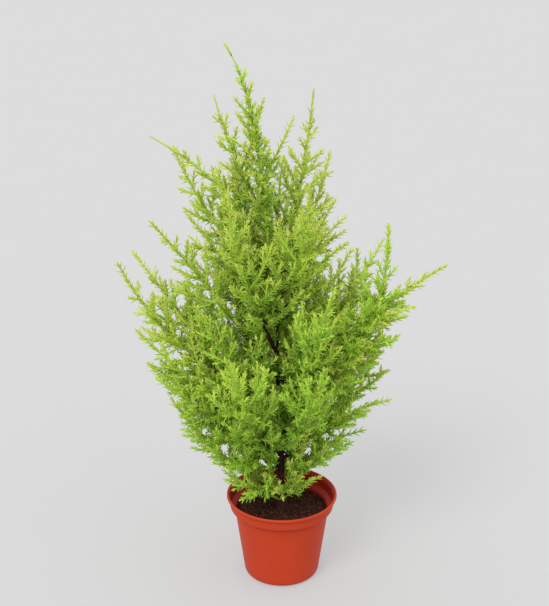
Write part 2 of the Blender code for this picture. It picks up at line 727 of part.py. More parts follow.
def keep_largest_body(mesh):
    """Drop loose scraps and sealed hollows, which are bodies of their own."""
    bm = bmesh.new()
    bm.from_mesh(mesh)
    bmesh.ops.dissolve_limit(bm, angle_limit=math.radians(0.6), verts=bm.verts, edges=bm.edges)
    bmesh.ops.triangulate(bm, faces=bm.faces)
    seen = set()
    bodies = []
    for vertex in bm.verts:
        if vertex in seen:
            continue
        body = [vertex]
        seen.add(vertex)
        for current in body:
            for edge in current.link_edges:
                other = edge.other_vert(current)
                if other not in seen:
                    seen.add(other)
                    body.append(other)
        bodies.append(body)
    bodies.sort(key=len)
    for body in bodies[:-1]:
        bmesh.ops.delete(bm, geom=body, context="VERTS")
    bm.to_mesh(mesh)
    bm.free()


def main():
    """Build pot, soil, trunk, boughs and foliage masses."""
    remove_all()
    plastic = make_material("pot_plastic", (0.56, 0.075, 0.026), 0.42)
    compost = make_material("compost", (0.035, 0.014, 0.009), 0.95)
    bark = make_material("bark", (0.085, 0.040, 0.030), 0.85)
    foliage = make_material("foliage", (0.22, 0.42, 0.045), 0.55)
    build_pot(plastic)
    build_soil(compost)
    trunk = build_trunk(bark)
    boughs = [Bough(k, *row) for k, row in enumerate(BOUGHS)]
    boughs.append(Leader(len(boughs)))
    limbs = [(-1, tree_of(*mesh_of(trunk)))]
    for bough in boughs:
        if bough.has_limb:
            limb = bough.tube(bough.foot, bough.fork, BOUGH_RINGS, BOUGH_SIDES)
            shade_round(make_object("bough_" + bough.name, *limb, bark), math.radians(50))
        whole = bough.tube(bough.foot, 1.0, 2 * STEM_RINGS, 2 * STEM_SIDES, CLEARANCE)
        limbs.append((bough.index, tree_of(*whole)))
    space = Space(boughs, limbs)
    for bough in sorted(boughs, key=lambda item: -item.length):
        grow_mass(bough, space, foliage)


def mesh_of(item):
    """Vertices and faces of an object that stands unturned at the origin."""
    return [v.co.copy() for v in item.data.vertices], [tuple(p.vertices) for p in item.data.polygons]


main()
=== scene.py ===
import math

import bpy
import numpy as np
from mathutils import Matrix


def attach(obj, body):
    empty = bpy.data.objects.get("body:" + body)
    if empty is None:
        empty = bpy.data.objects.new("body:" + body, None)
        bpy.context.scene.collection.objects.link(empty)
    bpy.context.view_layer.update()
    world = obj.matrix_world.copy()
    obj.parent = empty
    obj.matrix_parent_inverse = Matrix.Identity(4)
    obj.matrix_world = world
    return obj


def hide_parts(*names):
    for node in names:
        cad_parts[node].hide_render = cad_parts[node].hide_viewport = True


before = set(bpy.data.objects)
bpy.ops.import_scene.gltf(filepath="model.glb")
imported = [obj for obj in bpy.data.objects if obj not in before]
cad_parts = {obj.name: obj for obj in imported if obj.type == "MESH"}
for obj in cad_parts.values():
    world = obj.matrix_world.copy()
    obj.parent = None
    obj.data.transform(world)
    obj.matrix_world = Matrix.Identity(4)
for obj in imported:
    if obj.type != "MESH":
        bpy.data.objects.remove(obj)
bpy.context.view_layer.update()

mm = 0.001
goldenTurn = math.radians(137.5)

# camera, light and floor come first; places are in metres
view = {
    "cameraPlace": (-0.0079, -1.299, 0.842),
    "cameraTilt": 68.04,          # degrees up from looking straight down
    "lensLength": 80.73,          # mm, on a frame of frameWidth
    "frameWidth": 36.0,
    "clip": (0.05, 50.0),
    "floorX": (-6.0, 6.0),
    "floorY": (-4.0, 14.0),
    "floorDrop": 0.0004,          # keeps the floor just under the pot
    "floorTone": 0.215,
    "floorMottle": 1.012,         # how much lighter its second tone is
    "floorGrain": (8.0, 60.0),    # waves per metre
    "floorGlow": 0.322,
    "skyStrength": 1.32,
    # name, where the light comes from, strength and spread in degrees
    "lamps": [("keyLight", (-0.47, -0.85, 1.05), 1.95, 26.0),
              ("fillLight", (0.75, -1.10, 1.1), 0.35, 60.0)],
}


def addLamps():
    # broad suns: the -Z axis of each runs from its side towards the plant
    for name, (x, y, z), strength, spread in view["lamps"]:
        lamp = bpy.data.lights.new(name, "SUN")
        lamp.energy = strength
        lamp.angle = math.radians(spread)
        item = bpy.data.objects.new(name, lamp)
        item.rotation_euler = (math.atan2(math.hypot(x, y), z), 0.0, math.atan2(x, -y))
        bpy.context.scene.collection.objects.link(item)


def setView():
    # one camera turned about X by its tilt, two lamps and a sky of one strength all round
    lens = bpy.data.cameras.new("mainCamera")
    lens.lens = view["lensLength"]
    lens.sensor_width = view["frameWidth"]
    lens.clip_start, lens.clip_end = view["clip"]
    item = bpy.data.objects.new("mainCamera", lens)
    item.location = view["cameraPlace"]
    item.rotation_euler = (math.radians(view["cameraTilt"]), 0.0, 0.0)
    bpy.context.scene.collection.objects.link(item)
    bpy.context.scene.camera = item
    bpy.context.scene.view_settings.view_transform = "Standard"
    addLamps()
    world = bpy.data.worlds.new("softSky")
    world.use_nodes = True
    back = world.node_tree.nodes["Background"]
    back.inputs["Color"].default_value = (1.0, 1.0, 1.0, 1.0)
    back.inputs["Strength"].default_value = view["skyStrength"]
    bpy.context.scene.world = world


def cornerValue(cells, seed):
    # a fixed pseudo-random number from 0 to 1 for each whole-number corner
    mixed = cells[..., 0] * 73856093 ^ cells[..., 1] * 19349663 ^ cells[..., 2] * 83492791
    mixed = (mixed + seed * 7919) & 0x7FFFFFFF
    mixed = ((mixed ^ (mixed >> 13)) * 1274126177) & 0x7FFFFFFF
    mixed = mixed ^ (mixed >> 16)
    return (mixed & 0xFFFF) / 65535.0


def softNoise(points, seed):
    # value noise from -1 to 1: the eight corner values round a point, blended by 3f^2 - 2f^3
    low = np.floor(points).astype(np.int64)
    share = points - low
    share = share * share * (3 - 2 * share)
    total = np.zeros(points.shape[:-1])
    for corner in np.ndindex(2, 2, 2):
        weight = np.prod(np.where(np.array(corner) == 1, share, 1 - share), axis=-1)
        total += weight * cornerValue(low + np.array(corner), seed)
    return total * 2 - 1


def unit(vectors):
    # v / |v| for each vector
    return vectors / np.maximum(np.linalg.norm(vectors, axis=-1, keepdims=True), 1e-12)


def across(vectors):
    # a unit vector square to each vector, made with the world axis it leans least towards
    least = np.eye(3)[np.argmin(np.abs(vectors), axis=-1)]
    return unit(np.cross(vectors, least))


def makePiece(name, vertices, faceGroups, material, slotName, smooth=True, replaced=()):
    # one mesh object at the origin from arrays: vertices (n, 3) and faces of 3 or 4 corners
    mesh = bpy.data.meshes.new(name)
    corners = np.concatenate([group.ravel() for group in faceGroups]).astype(np.int32)
    sizes = np.concatenate([np.full(len(group), group.shape[1]) for group in faceGroups])
    starts = np.concatenate([[0], np.cumsum(sizes)[:-1]]).astype(np.int32)
    mesh.vertices.add(len(vertices))
    mesh.vertices.foreach_set("co", np.ascontiguousarray(vertices, dtype=np.float32).ravel())
    mesh.loops.add(len(corners))
    mesh.loops.foreach_set("vertex_index", corners)
    mesh.polygons.add(len(sizes))
    mesh.polygons.foreach_set("loop_start", starts)
    mesh.polygons.foreach_set("use_smooth", np.full(len(sizes), smooth))
    mesh.update(calc_edges=True)
    mesh.validate()
    mesh.materials.append(material)
    piece = bpy.data.objects.new(name, mesh)
    bpy.context.scene.collection.objects.link(piece)
    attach(piece, "root")
    if replaced:
        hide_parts(*replaced)
    return piece


def tubeMesh(centres, radii, sides, guide):
    # tubes round many lines at once: centre + radius * (a cos v + b sin v), with a and b square to
    # the line; centres are (tubes, rings, 3), radii broadcast to (tubes, rings, sides)
    tubes, rings = centres.shape[:2]
    along = unit(np.gradient(centres, axis=1))
    guide = guide[:, None, :]
    first = unit(guide - along * np.sum(along * guide, axis=-1, keepdims=True))
    second = np.cross(along, first)
    angle = np.linspace(0, 2 * math.pi, sides, endpoint=False)
    spoke = (first[:, :, None] * np.cos(angle)[:, None] + second[:, :, None] * np.sin(angle)[:, None])
    vertices = centres[:, :, None] + spoke * np.broadcast_to(radii, (tubes, rings, sides))[..., None]
    index = np.arange(tubes * rings * sides).reshape(tubes, rings, sides)
    nextSide = np.roll(index, -1, axis=2)
    walls = np.stack([index[:, :-1], nextSide[:, :-1], nextSide[:, 1:], index[:, 1:]], axis=-1)
    foot = index[:, 0, ::-1]
    tip = index[:, -1]
    groups = [walls.reshape(-1, 4)]
    for cap in (foot, tip):
        if sides <= 4:
            groups.append(cap)
        else:                     # a fan of triangles closes a ring with more corners
            fan = [cap[:, [0, k, k + 1]] for k in range(1, sides - 1)]
            groups.append(np.concatenate(fan))
    return vertices.reshape(-1, 3), groups


def joinMeshes(parts):
    # several (vertices, faceGroups) as one: each face's numbers rise by the vertices before it
    vertices, groups, offset = [], [], 0
    for points, faces in parts:
        vertices.append(points)
        groups += [group + offset for group in faces]
        offset += len(points)
    return np.concatenate(vertices), groups


mottle = {
    "coarse": 60.0, "fine": 400.0, "balance": 0.5,   # where a material gives none of its own
    "detail": 3.0,
    "mask": (0.3, 0.7),           # noise values that become 0 and 1
}


def nodeGroup(name, inputs, outputs):
    # an empty shader group with named float, colour and vector sockets
    group = bpy.data.node_groups.new(name, "ShaderNodeTree")
    for socketName, kind, value in inputs:
        socket = group.interface.new_socket(socketName, in_out="INPUT", socket_type=kind)
        if value is not None:
            socket.default_value = value
    for socketName, kind in outputs:
        group.interface.new_socket(socketName, in_out="OUTPUT", socket_type=kind)
    return group, group.nodes.new("NodeGroupInput"), group.nodes.new("NodeGroupOutput")


def makeGrainGroup():
    # mottled grain: two noises of different size give a mask from 0 to 1 and a height
    group, enter, leave = nodeGroup(
        "mottledGrain",
        [("Position", "NodeSocketVector", None), ("Coarse", "NodeSocketFloat", mottle["coarse"]),
         ("Fine", "NodeSocketFloat", mottle["fine"]), ("Balance", "NodeSocketFloat", mottle["balance"])],
        [("Mask", "NodeSocketFloat"), ("Height", "NodeSocketFloat")])
    links = group.links
    coarse = group.nodes.new("ShaderNodeTexNoise")
    fine = group.nodes.new("ShaderNodeTexNoise")
    for noise, name in ((coarse, "Coarse"), (fine, "Fine")):
        noise.inputs["Detail"].default_value = mottle["detail"]
        links.new(enter.outputs["Position"], noise.inputs["Vector"])
        links.new(enter.outputs[name], noise.inputs["Scale"])
    mix = group.nodes.new("ShaderNodeMix")
    mix.data_type = "FLOAT"
    links.new(enter.outputs["Balance"], mix.inputs[0])
    links.new(coarse.outputs["Fac"], mix.inputs[2])
    links.new(fine.outputs["Fac"], mix.inputs[3])
    spread = group.nodes.new("ShaderNodeMapRange")
    spread.inputs["From Min"].default_value, spread.inputs["From Max"].default_value = mottle["mask"]
    links.new(mix.outputs[0], spread.inputs["Value"])
    links.new(spread.outputs["Result"], leave.inputs["Mask"])
    links.new(mix.outputs[0], leave.inputs["Height"])
    return group


grainGroup = makeGrainGroup()


def newMaterial(name, roughness):
    # a plain material with its nodes, its shader and its Object coordinates
    material = bpy.data.materials.new(name)
    material.use_nodes = True
    shader = material.node_tree.nodes["Principled BSDF"]
    shader.inputs["Roughness"].default_value = roughness
    place = material.node_tree.nodes.new("ShaderNodeTexCoord")
    return material, material.node_tree, shader, place.outputs["Object"]


def addGrain(tree, position, coarse, fine, balance):
    # the shared grain with this material's own sizes: (1 - balance) coarse + balance fine
    node = tree.nodes.new("ShaderNodeGroup")
    node.node_tree = grainGroup
    node.inputs["Coarse"].default_value = coarse
    node.inputs["Fine"].default_value = fine
    node.inputs["Balance"].default_value = balance
    tree.links.new(position, node.inputs["Position"])
    return node


def mixColours(tree, factor, first, second):
    # (1 - factor) first + factor second, where first and second are colours or sockets
    mix = tree.nodes.new("ShaderNodeMix")
    mix.data_type = "RGBA"
    tree.links.new(factor, mix.inputs[0])
    for value, socket in ((first, mix.inputs[6]), (second, mix.inputs[7])):
        if isinstance(value, tuple):
            socket.default_value = (*value, 1.0)
        else:
            tree.links.new(value, socket)
    return mix.outputs[2]


def addBump(tree, shader, height, strength, distance):
    # tilts the normal as if the surface stood height * distance higher
    bump = tree.nodes.new("ShaderNodeBump")
    bump.inputs["Strength"].default_value = strength
    bump.inputs["Distance"].default_value = distance
    tree.links.new(height, bump.inputs["Height"])
    tree.links.new(bump.outputs["Normal"], shader.inputs["Normal"])


def mottledMaterial(name, first, second, roughness, coarse, fine, balance=0.5, bump=0.0, depth=0.0002):
    # two close colours that blend by the grain's mask, with optional bump
    material, tree, shader, position = newMaterial(name, roughness)
    grain = addGrain(tree, position, coarse, fine, balance)
    colour = mixColours(tree, grain.outputs["Mask"], first, second)
    tree.links.new(colour, shader.inputs["Base Color"])
    if bump:
        addBump(tree, shader, grain.outputs["Height"], bump, depth)
    return material


def makeFloor():
    # one level rectangle with a faint glow of its own
    tone = view["floorTone"]
    lighter = tone * view["floorMottle"]
    material = mottledMaterial("paleFloor", (tone,) * 3, (lighter,) * 3, 0.9, *view["floorGrain"])
    shader = material.node_tree.nodes["Principled BSDF"]
    shader.inputs["Emission Color"].default_value = (1.0, 1.0, 1.0, 1.0)
    shader.inputs["Emission Strength"].default_value = view["floorGlow"]
    shader.inputs["Specular IOR Level"].default_value = 0.0
    mesh = bpy.data.meshes.new("floor")
    (left, right), (near, far) = view["floorX"], view["floorY"]
    corners = [(left, near, 0), (right, near, 0), (right, far, 0), (left, far, 0)]
    mesh.from_pydata(corners, [], [(0, 1, 2, 3)])
    mesh.materials.append(material)
    floor = bpy.data.objects.new("floor", mesh)
    floor.location = (0.0, 0.0, -view["floorDrop"])
    bpy.context.scene.collection.objects.link(floor)


setView()
makeFloor()
print("stage: camera, light and floor")


# millimetres
pot = {
    "segments": 192,
    "arcSteps": 6,
    "longest": 4.0,               # longest straight stretch of the section
    # corners of the wall's section: radius, height, rounding
    "corners": [(19.0, 0.0, 0.4), (20.4, 1.4, 0.5), (30.6, 1.4, 0.5), (32.0, 0.0, 0.4),
                (40.3, 0.0, 5.6), (51.2, 77.8, 1.2), (56.2, 81.0, 2.0), (57.2, 92.0, 0.7),
                (60.0, 92.3, 1.0), (60.0, 95.2, 1.1), (58.2, 95.2, 0.8), (55.9, 92.0, 2.0),
                (54.9, 82.2, 1.6), (49.9, 78.9, 1.2), (39.8, 3.4, 4.2)],
    "floorTop": 3.4,
    "drainRadius": 3.6,
    "drainCircle": 25.5,
    "drainCount": 6,
    "drainSides": 24,
    "drainCut": (-4.0, 8.0),      # heights between which the holes are cut
    "paintedShadeHeights": (76.0, 94.4),      # heights between which the inside wall takes painted shade
    "sharpAngle": 40.0,           # degrees past which an edge stays crisp
    # two close colours and the specular level
    "plainPlastic": ((0.378, 0.0355, 0.0120), (0.415, 0.0410, 0.0142), 0.07),
    # painted shade: the inside wall is a darker red where the rim and the plant shade it
    "paintedShadePlastic": ((0.235, 0.013, 0.0055), (0.300, 0.018, 0.0070), 0.10),
    "grain": (35.0, 900.0, 0.35),
    "roughness": (0.36, 0.42, 0.50),   # least, usual and most
    "bump": (0.25, 0.0001),       # strength, and depth in metres
}


def roundedSection(corners, steps):
    # each corner is replaced by an arc: it starts at rounding * tan(turn / 2) before the corner
    points = [np.array([0.0, corners[0][1]])]
    stops = [(0.0, corners[0][1])] + [c[:2] for c in corners] + [(0.0, pot["floorTop"])]
    for k, (radius, height, rounding) in enumerate(corners):
        corner = np.array([radius, height])
        back = np.array(stops[k]) - corner
        onward = np.array(stops[k + 2]) - corner
        back = back / np.linalg.norm(back)
        onward = onward / np.linalg.norm(onward)
        half = math.acos(max(-1.0, min(1.0, float(back @ onward)))) / 2
        run = rounding / math.tan(half)
        middle = back + onward
        centre = corner + middle / np.linalg.norm(middle) * rounding / math.sin(half)
        first = corner + back * run - centre
        last = corner + onward * run - centre
        sweep = math.atan2(first[0] * last[1] - first[1] * last[0], float(first @ last))
        for step in range(steps + 1):
            turn = sweep * step / steps
            swing = np.array([[math.cos(turn), -math.sin(turn)], [math.sin(turn), math.cos(turn)]])
            points.append(centre + swing @ first)
    points.append(np.array([0.0, pot["floorTop"]]))
    return np.array(points) * mm


def fillLong(section, longest):
    # adds points so that no straight stretch of the section is longer than this
    points = [section[0]]
    for start, end in zip(section, section[1:]):
        pieces = max(1, int(np.linalg.norm(end - start) / longest))
        points += [start + (end - start) * k / pieces for k in range(1, pieces + 1)]
    return np.array(points)


def turnedMesh(section, segments):
    # the section carried round Z: (r cos v, r sin v, z); its ends on the axis are single points
    angle = np.linspace(0, 2 * math.pi, segments, endpoint=False)
    ring = section[1:-1]
    vertices = np.stack([ring[:, None, 0] * np.cos(angle), ring[:, None, 0] * np.sin(angle),
                         np.repeat(ring[:, None, 1], segments, axis=1)], axis=-1).reshape(-1, 3)
    index = np.arange(len(vertices)).reshape(len(ring), segments)
    following = np.roll(index, -1, axis=1)
    walls = np.stack([index[:-1], following[:-1], following[1:], index[1:]], axis=-1)
    poles = np.array([[0, 0, section[0, 1]], [0, 0, section[-1, 1]]])
    foot, top = len(vertices), len(vertices) + 1
    footFan = np.stack([following[0], index[0], np.full(segments, foot)], axis=-1)
    topFan = np.stack([index[-1], following[-1], np.full(segments, top)], axis=-1)
    return np.concatenate([vertices, poles]), [walls.reshape(-1, 4), footFan, topFan]


def plasticMaterial(name, first, second, specular):
    # moulded plastic: faint mottling, least + (most - least) mask for the roughness, and fine bump
    least, usual, most = pot["roughness"]
    material, tree, shader, position = newMaterial(name, usual)
    shader.inputs["Specular IOR Level"].default_value = specular
    grain = addGrain(tree, position, *pot["grain"])
    body = mixColours(tree, grain.outputs["Mask"], first, second)
    tree.links.new(body, shader.inputs["Base Color"])
    rough = tree.nodes.new("ShaderNodeMapRange")
    rough.inputs["To Min"].default_value = least
    rough.inputs["To Max"].default_value = most
    tree.links.new(grain.outputs["Mask"], rough.inputs["Value"])
    tree.links.new(rough.outputs["Result"], shader.inputs["Roughness"])
    addBump(tree, shader, grain.outputs["Height"], *pot["bump"])
    return material


def markInside(mesh):
    # the wall over the soil that faces the axis, or up below the lip, takes the darker plastic of
    # painted shade: there the normal's share away from the axis is under 0.2
    mesh.materials.append(plasticMaterial("paintedShadePlastic", *pot["paintedShadePlastic"]))
    centre = np.empty(len(mesh.polygons) * 3)
    normal = np.empty(len(mesh.polygons) * 3)
    mesh.polygons.foreach_get("center", centre)
    mesh.polygons.foreach_get("normal", normal)
    centre, normal = centre.reshape(-1, 3), normal.reshape(-1, 3)
    outward = np.sum(centre[:, :2] * normal[:, :2], axis=1) / np.hypot(centre[:, 0], centre[:, 1])
    low, high = pot["paintedShadeHeights"]
    inside = (outward < 0.2) & (centre[:, 2] > low * mm) & (centre[:, 2] < high * mm)
    mesh.polygons.foreach_set("material_index", inside.astype(np.int32))


def makePot():
    # the rounded section carried round Z, less a ring of upright drains at even turns
    section = fillLong(roundedSection(pot["corners"], pot["arcSteps"]), pot["longest"] * mm)
    vertices, faces = turnedMesh(section, pot["segments"])
    plain = plasticMaterial("pottedPlastic", *pot["plainPlastic"])
    piece = makePiece("potBody", vertices, faces, plain, "pot", replaced=["pot"])
    cutters = []
    for k in range(pot["drainCount"]):
        turn = 2 * math.pi * (k + 0.5) / pot["drainCount"]
        centre = np.array([math.cos(turn), math.sin(turn), 0.0]) * pot["drainCircle"] * mm
        line = np.array([[centre + (0, 0, height * mm) for height in pot["drainCut"]]])
        radius = np.full((1, 2, 1), pot["drainRadius"] * mm)
        cutters.append(tubeMesh(line, radius, pot["drainSides"], np.array([[1.0, 0.0, 0.0]])))
    points, groups = joinMeshes(cutters)
    mesh = bpy.data.meshes.new("drainCutter")
    mesh.from_pydata(points.tolist(), [], [face.tolist() for group in groups for face in group])
    cutter = bpy.data.objects.new("drainCutter", mesh)
    bpy.context.scene.collection.objects.link(cutter)
    drill = piece.modifiers.new("drains", "BOOLEAN")
    drill.operation = "DIFFERENCE"
    drill.object = cutter
    graph = bpy.context.evaluated_depsgraph_get()
    drilled = bpy.data.meshes.new_from_object(piece.evaluated_get(graph))
    piece.modifiers.clear()
    piece.data = drilled
    bpy.data.objects.remove(cutter)
    drilled.set_sharp_from_angle(angle=math.radians(pot["sharpAngle"]))
    markInside(drilled)


makePot()
print("stage: pot")


soil = {
    "seed": 77,
    "top": 76.5 * mm,
    "edge": 49.3 * mm,
    "sink": 1.2 * mm,             # how far the top sinks beside the wall, by this power of the radius
    "sinkPower": 6,
    "rings": 120,
    "spokes": 420,
    "innerRing": 0.004,           # share of the edge at which the innermost ring lies
    "lumps": ((150.0, 1.10), (380.0, 0.75), (900.0, 0.38)),   # waves per metre, height in mm
    "lumpSeed": 40,
    "lumpShift": 17.3,
    # the plug's side and underside follow the pot's inner wall, kept just clear of it: mm
    "side": ((30.0, 3.9), (38.8, 7.0), (44.0, 40.0), (48.5, 73.0), (48.9, 75.0)),
    # how many of each, the smallest and largest in mm, and a power that keeps most of them small
    "crumbs": 2300,
    "chipSize": (0.35, 1.25), "crumbSize": (0.3, 1.5), "sizePower": 1.8,
    "crumbRoom": 1.5, "fibreRoom": 5.0,   # mm kept free beside the wall
    "fibres": 420,
    "fibreLength": (1.5, 6.0), "fibreRadius": 0.12, "fibreLift": 0.25, "fibreTilt": 0.9,
    # two colours, roughness, the grain's two sizes and balance, bump and its depth in metres
    "compost": ((0.008, 0.003, 0.002), (0.030, 0.011, 0.006), 0.9, 420.0, 1500.0, 0.5, 0.6, 0.0004),
    "chips": ((0.055, 0.017, 0.009), (0.125, 0.042, 0.021), 0.85, 500.0, 1800.0, 0.5, 0.4, 0.0003),
    "coir": ((0.060, 0.024, 0.013), (0.11, 0.050, 0.027), 0.8, 500.0, 2000.0, 0.5),
    "specular": 0.08,
}


def soilHeight(x, y):
    # top + lumps of three sizes - sink (r / edge)^6; the middle size is folded, as 1.6 |lump| - 0.6
    place = np.stack([x, y, np.zeros_like(x)], axis=-1)
    height = np.full(x.shape, soil["top"])
    for k, (waves, tall) in enumerate(soil["lumps"]):
        lump = softNoise(place * waves + soil["lumpShift"] * k, soil["lumpSeed"] + k)
        height += (np.abs(lump) * 1.6 - 0.6 if k == 1 else lump) * tall * mm
    radius = np.hypot(x, y) / soil["edge"]
    return height - soil["sink"] * radius ** soil["sinkPower"]


def soilMaterials():
    # dark compost, redder chips and coir, all matt
    made = []
    for name, key in (("darkCompost", "compost"), ("redBrownChips", "chips"), ("coirFibre", "coir")):
        material = mottledMaterial(name, *soil[key])
        shader = material.node_tree.nodes["Principled BSDF"]
        shader.inputs["Specular IOR Level"].default_value = soil["specular"]
        made.append(material)
    return made


def makeSoil():
    # rings up the plug's side, then rings inwards over the top: (r cos v, r sin v, soilHeight)
    rng = np.random.default_rng(soil["seed"])
    dark, chip, fibre = soilMaterials()
    share = np.linspace(soil["innerRing"], 1.0, soil["rings"])[::-1]
    angle = np.linspace(0, 2 * math.pi, soil["spokes"], endpoint=False)
    x = soil["edge"] * share[:, None] * np.cos(angle)
    y = soil["edge"] * share[:, None] * np.sin(angle)
    top = np.stack([x, y, soilHeight(x, y)], axis=-1)
    rings = [np.stack([radius * mm * np.cos(angle), radius * mm * np.sin(angle),
                       np.full_like(angle, height * mm)], axis=-1) for radius, height in soil["side"]]
    vertices = np.concatenate([np.array(rings), top]).reshape(-1, 3)
    count = len(soil["side"]) + soil["rings"]
    index = np.arange(count * soil["spokes"]).reshape(count, soil["spokes"])
    following = np.roll(index, -1, axis=1)
    walls = np.stack([index[:-1], following[:-1], following[1:], index[1:]], axis=-1)
    middle = float(soilHeight(np.zeros(1), np.zeros(1))[0])
    poles = np.array([[0, 0, soil["side"][0][1] * mm], [0, 0, middle]])
    foot = np.stack([following[0], index[0], np.full(soil["spokes"], len(vertices))], axis=-1)
    cap = np.stack([index[-1], following[-1], np.full(soil["spokes"], len(vertices) + 1)], axis=-1)
    makePiece("soilPlug", np.concatenate([vertices, poles]), [walls.reshape(-1, 4), foot, cap], dark,
              "soil", replaced=["soil"])
    makeCrumbs(rng, chip, dark)
    makeFibres(rng, fibre)


def scatterOnSoil(rng, count, widest):
    # r = widest sqrt(random), which spreads points evenly over the disc
    radius = widest * np.sqrt(rng.random(count))
    turn = rng.uniform(0, 2 * math.pi, count)
    x, y = radius * np.cos(turn), radius * np.sin(turn)
    return np.stack([x, y, soilHeight(x, y)], axis=-1)


def makeCrumbs(rng, chip, dark):
    # eight-faced lumps: six points on the axes, each pulled in or out and the whole turned
    shape = np.array([[1, 0, 0], [-1, 0, 0], [0, 1, 0], [0, -1, 0], [0, 0, 1], [0, 0, -1.0]])
    faces = np.array([[0, 2, 4], [2, 1, 4], [1, 3, 4], [3, 0, 4], [2, 0, 5], [1, 2, 5], [3, 1, 5],
                      [0, 3, 5]])
    count = soil["crumbs"]
    for name, material, (smallest, largest) in (("barkChips", chip, soil["chipSize"]),
                                                ("darkCrumbs", dark, soil["crumbSize"])):
        centre = scatterOnSoil(rng, count, soil["edge"] - soil["crumbRoom"] * mm)
        size = smallest + (largest - smallest) * rng.random(count) ** soil["sizePower"]
        points = shape * rng.uniform(0.55, 1.3, (count, 6, 1)) * size[:, None, None] * mm
        points = points * rng.uniform(0.5, 1.5, (count, 1, 3))
        turn = rng.uniform(0, 2 * math.pi, count)
        cosine, sine = np.cos(turn)[:, None], np.sin(turn)[:, None]
        turned = np.stack([points[..., 0] * cosine - points[..., 1] * sine,
                           points[..., 0] * sine + points[..., 1] * cosine, points[..., 2]], axis=-1)
        vertices = (turned + centre[:, None]).reshape(-1, 3)
        corners = (faces[None] + 6 * np.arange(count)[:, None, None]).reshape(-1, 3)
        makePiece(name, vertices, [corners], material, "soil", smooth=False)


def makeFibres(rng, fibre):
    # thin strands on the soil: centre + length s (cos, sin)(turn + bend s), for s from -1/2 to 1/2
    count = soil["fibres"]
    centre = scatterOnSoil(rng, count, soil["edge"] - soil["fibreRoom"] * mm)
    turn = rng.uniform(0, 2 * math.pi, count)
    length = rng.uniform(*soil["fibreLength"], count) * mm
    bend = rng.uniform(-1, 1, count)
    steps = np.linspace(-0.5, 0.5, 5)
    heading = turn[:, None] + bend[:, None] * steps
    x = centre[:, :1] + length[:, None] * steps * np.cos(heading)
    y = centre[:, 1:2] + length[:, None] * steps * np.sin(heading)
    tilt = soil["fibreTilt"] * rng.random((count, 1)) * (steps + 0.5)
    z = soilHeight(x, y) + (soil["fibreLift"] + tilt) * mm
    lines = np.stack([x, y, z], axis=-1)
    radii = np.full((count, len(steps), 1), soil["fibreRadius"] * mm)
    guide = np.repeat([[0.0, 0.0, 1.0]], count, axis=0)
    vertices, faces = tubeMesh(lines, radii, 3, guide)
    makePiece("soilFibres", vertices, faces, fibre, "soil")


makeSoil()
print("stage: soil")


# the trunk and the boughs, by the same rule and values as the source: millimetres and shares
plant = {
    "soilTop": 76.5, "plantTop": 587.4, "trunkTop": 461.0,
    "lean": 34.0, "leanPower": 1.7, "nod": 22.7, "nodPower": 12.0, "sway": 2.5,
    "trunkRadius": 3.8, "trunkTopRadius": 1.3, "leaderTipRadius": 0.5,
    "flare": 2.0, "flareHeight": 9.0, "flareRoots": 5,
    "boughSway": 0.012, "boughRadius": 0.75, "boughRadiusShare": 0.0058, "boughTipRadius": 0.5,
    "boughTaperPower": 0.7,
    "leaderFoliageFrom": 402.0,
    "lineSteps": 161,             # points that stand for each limb's line
}

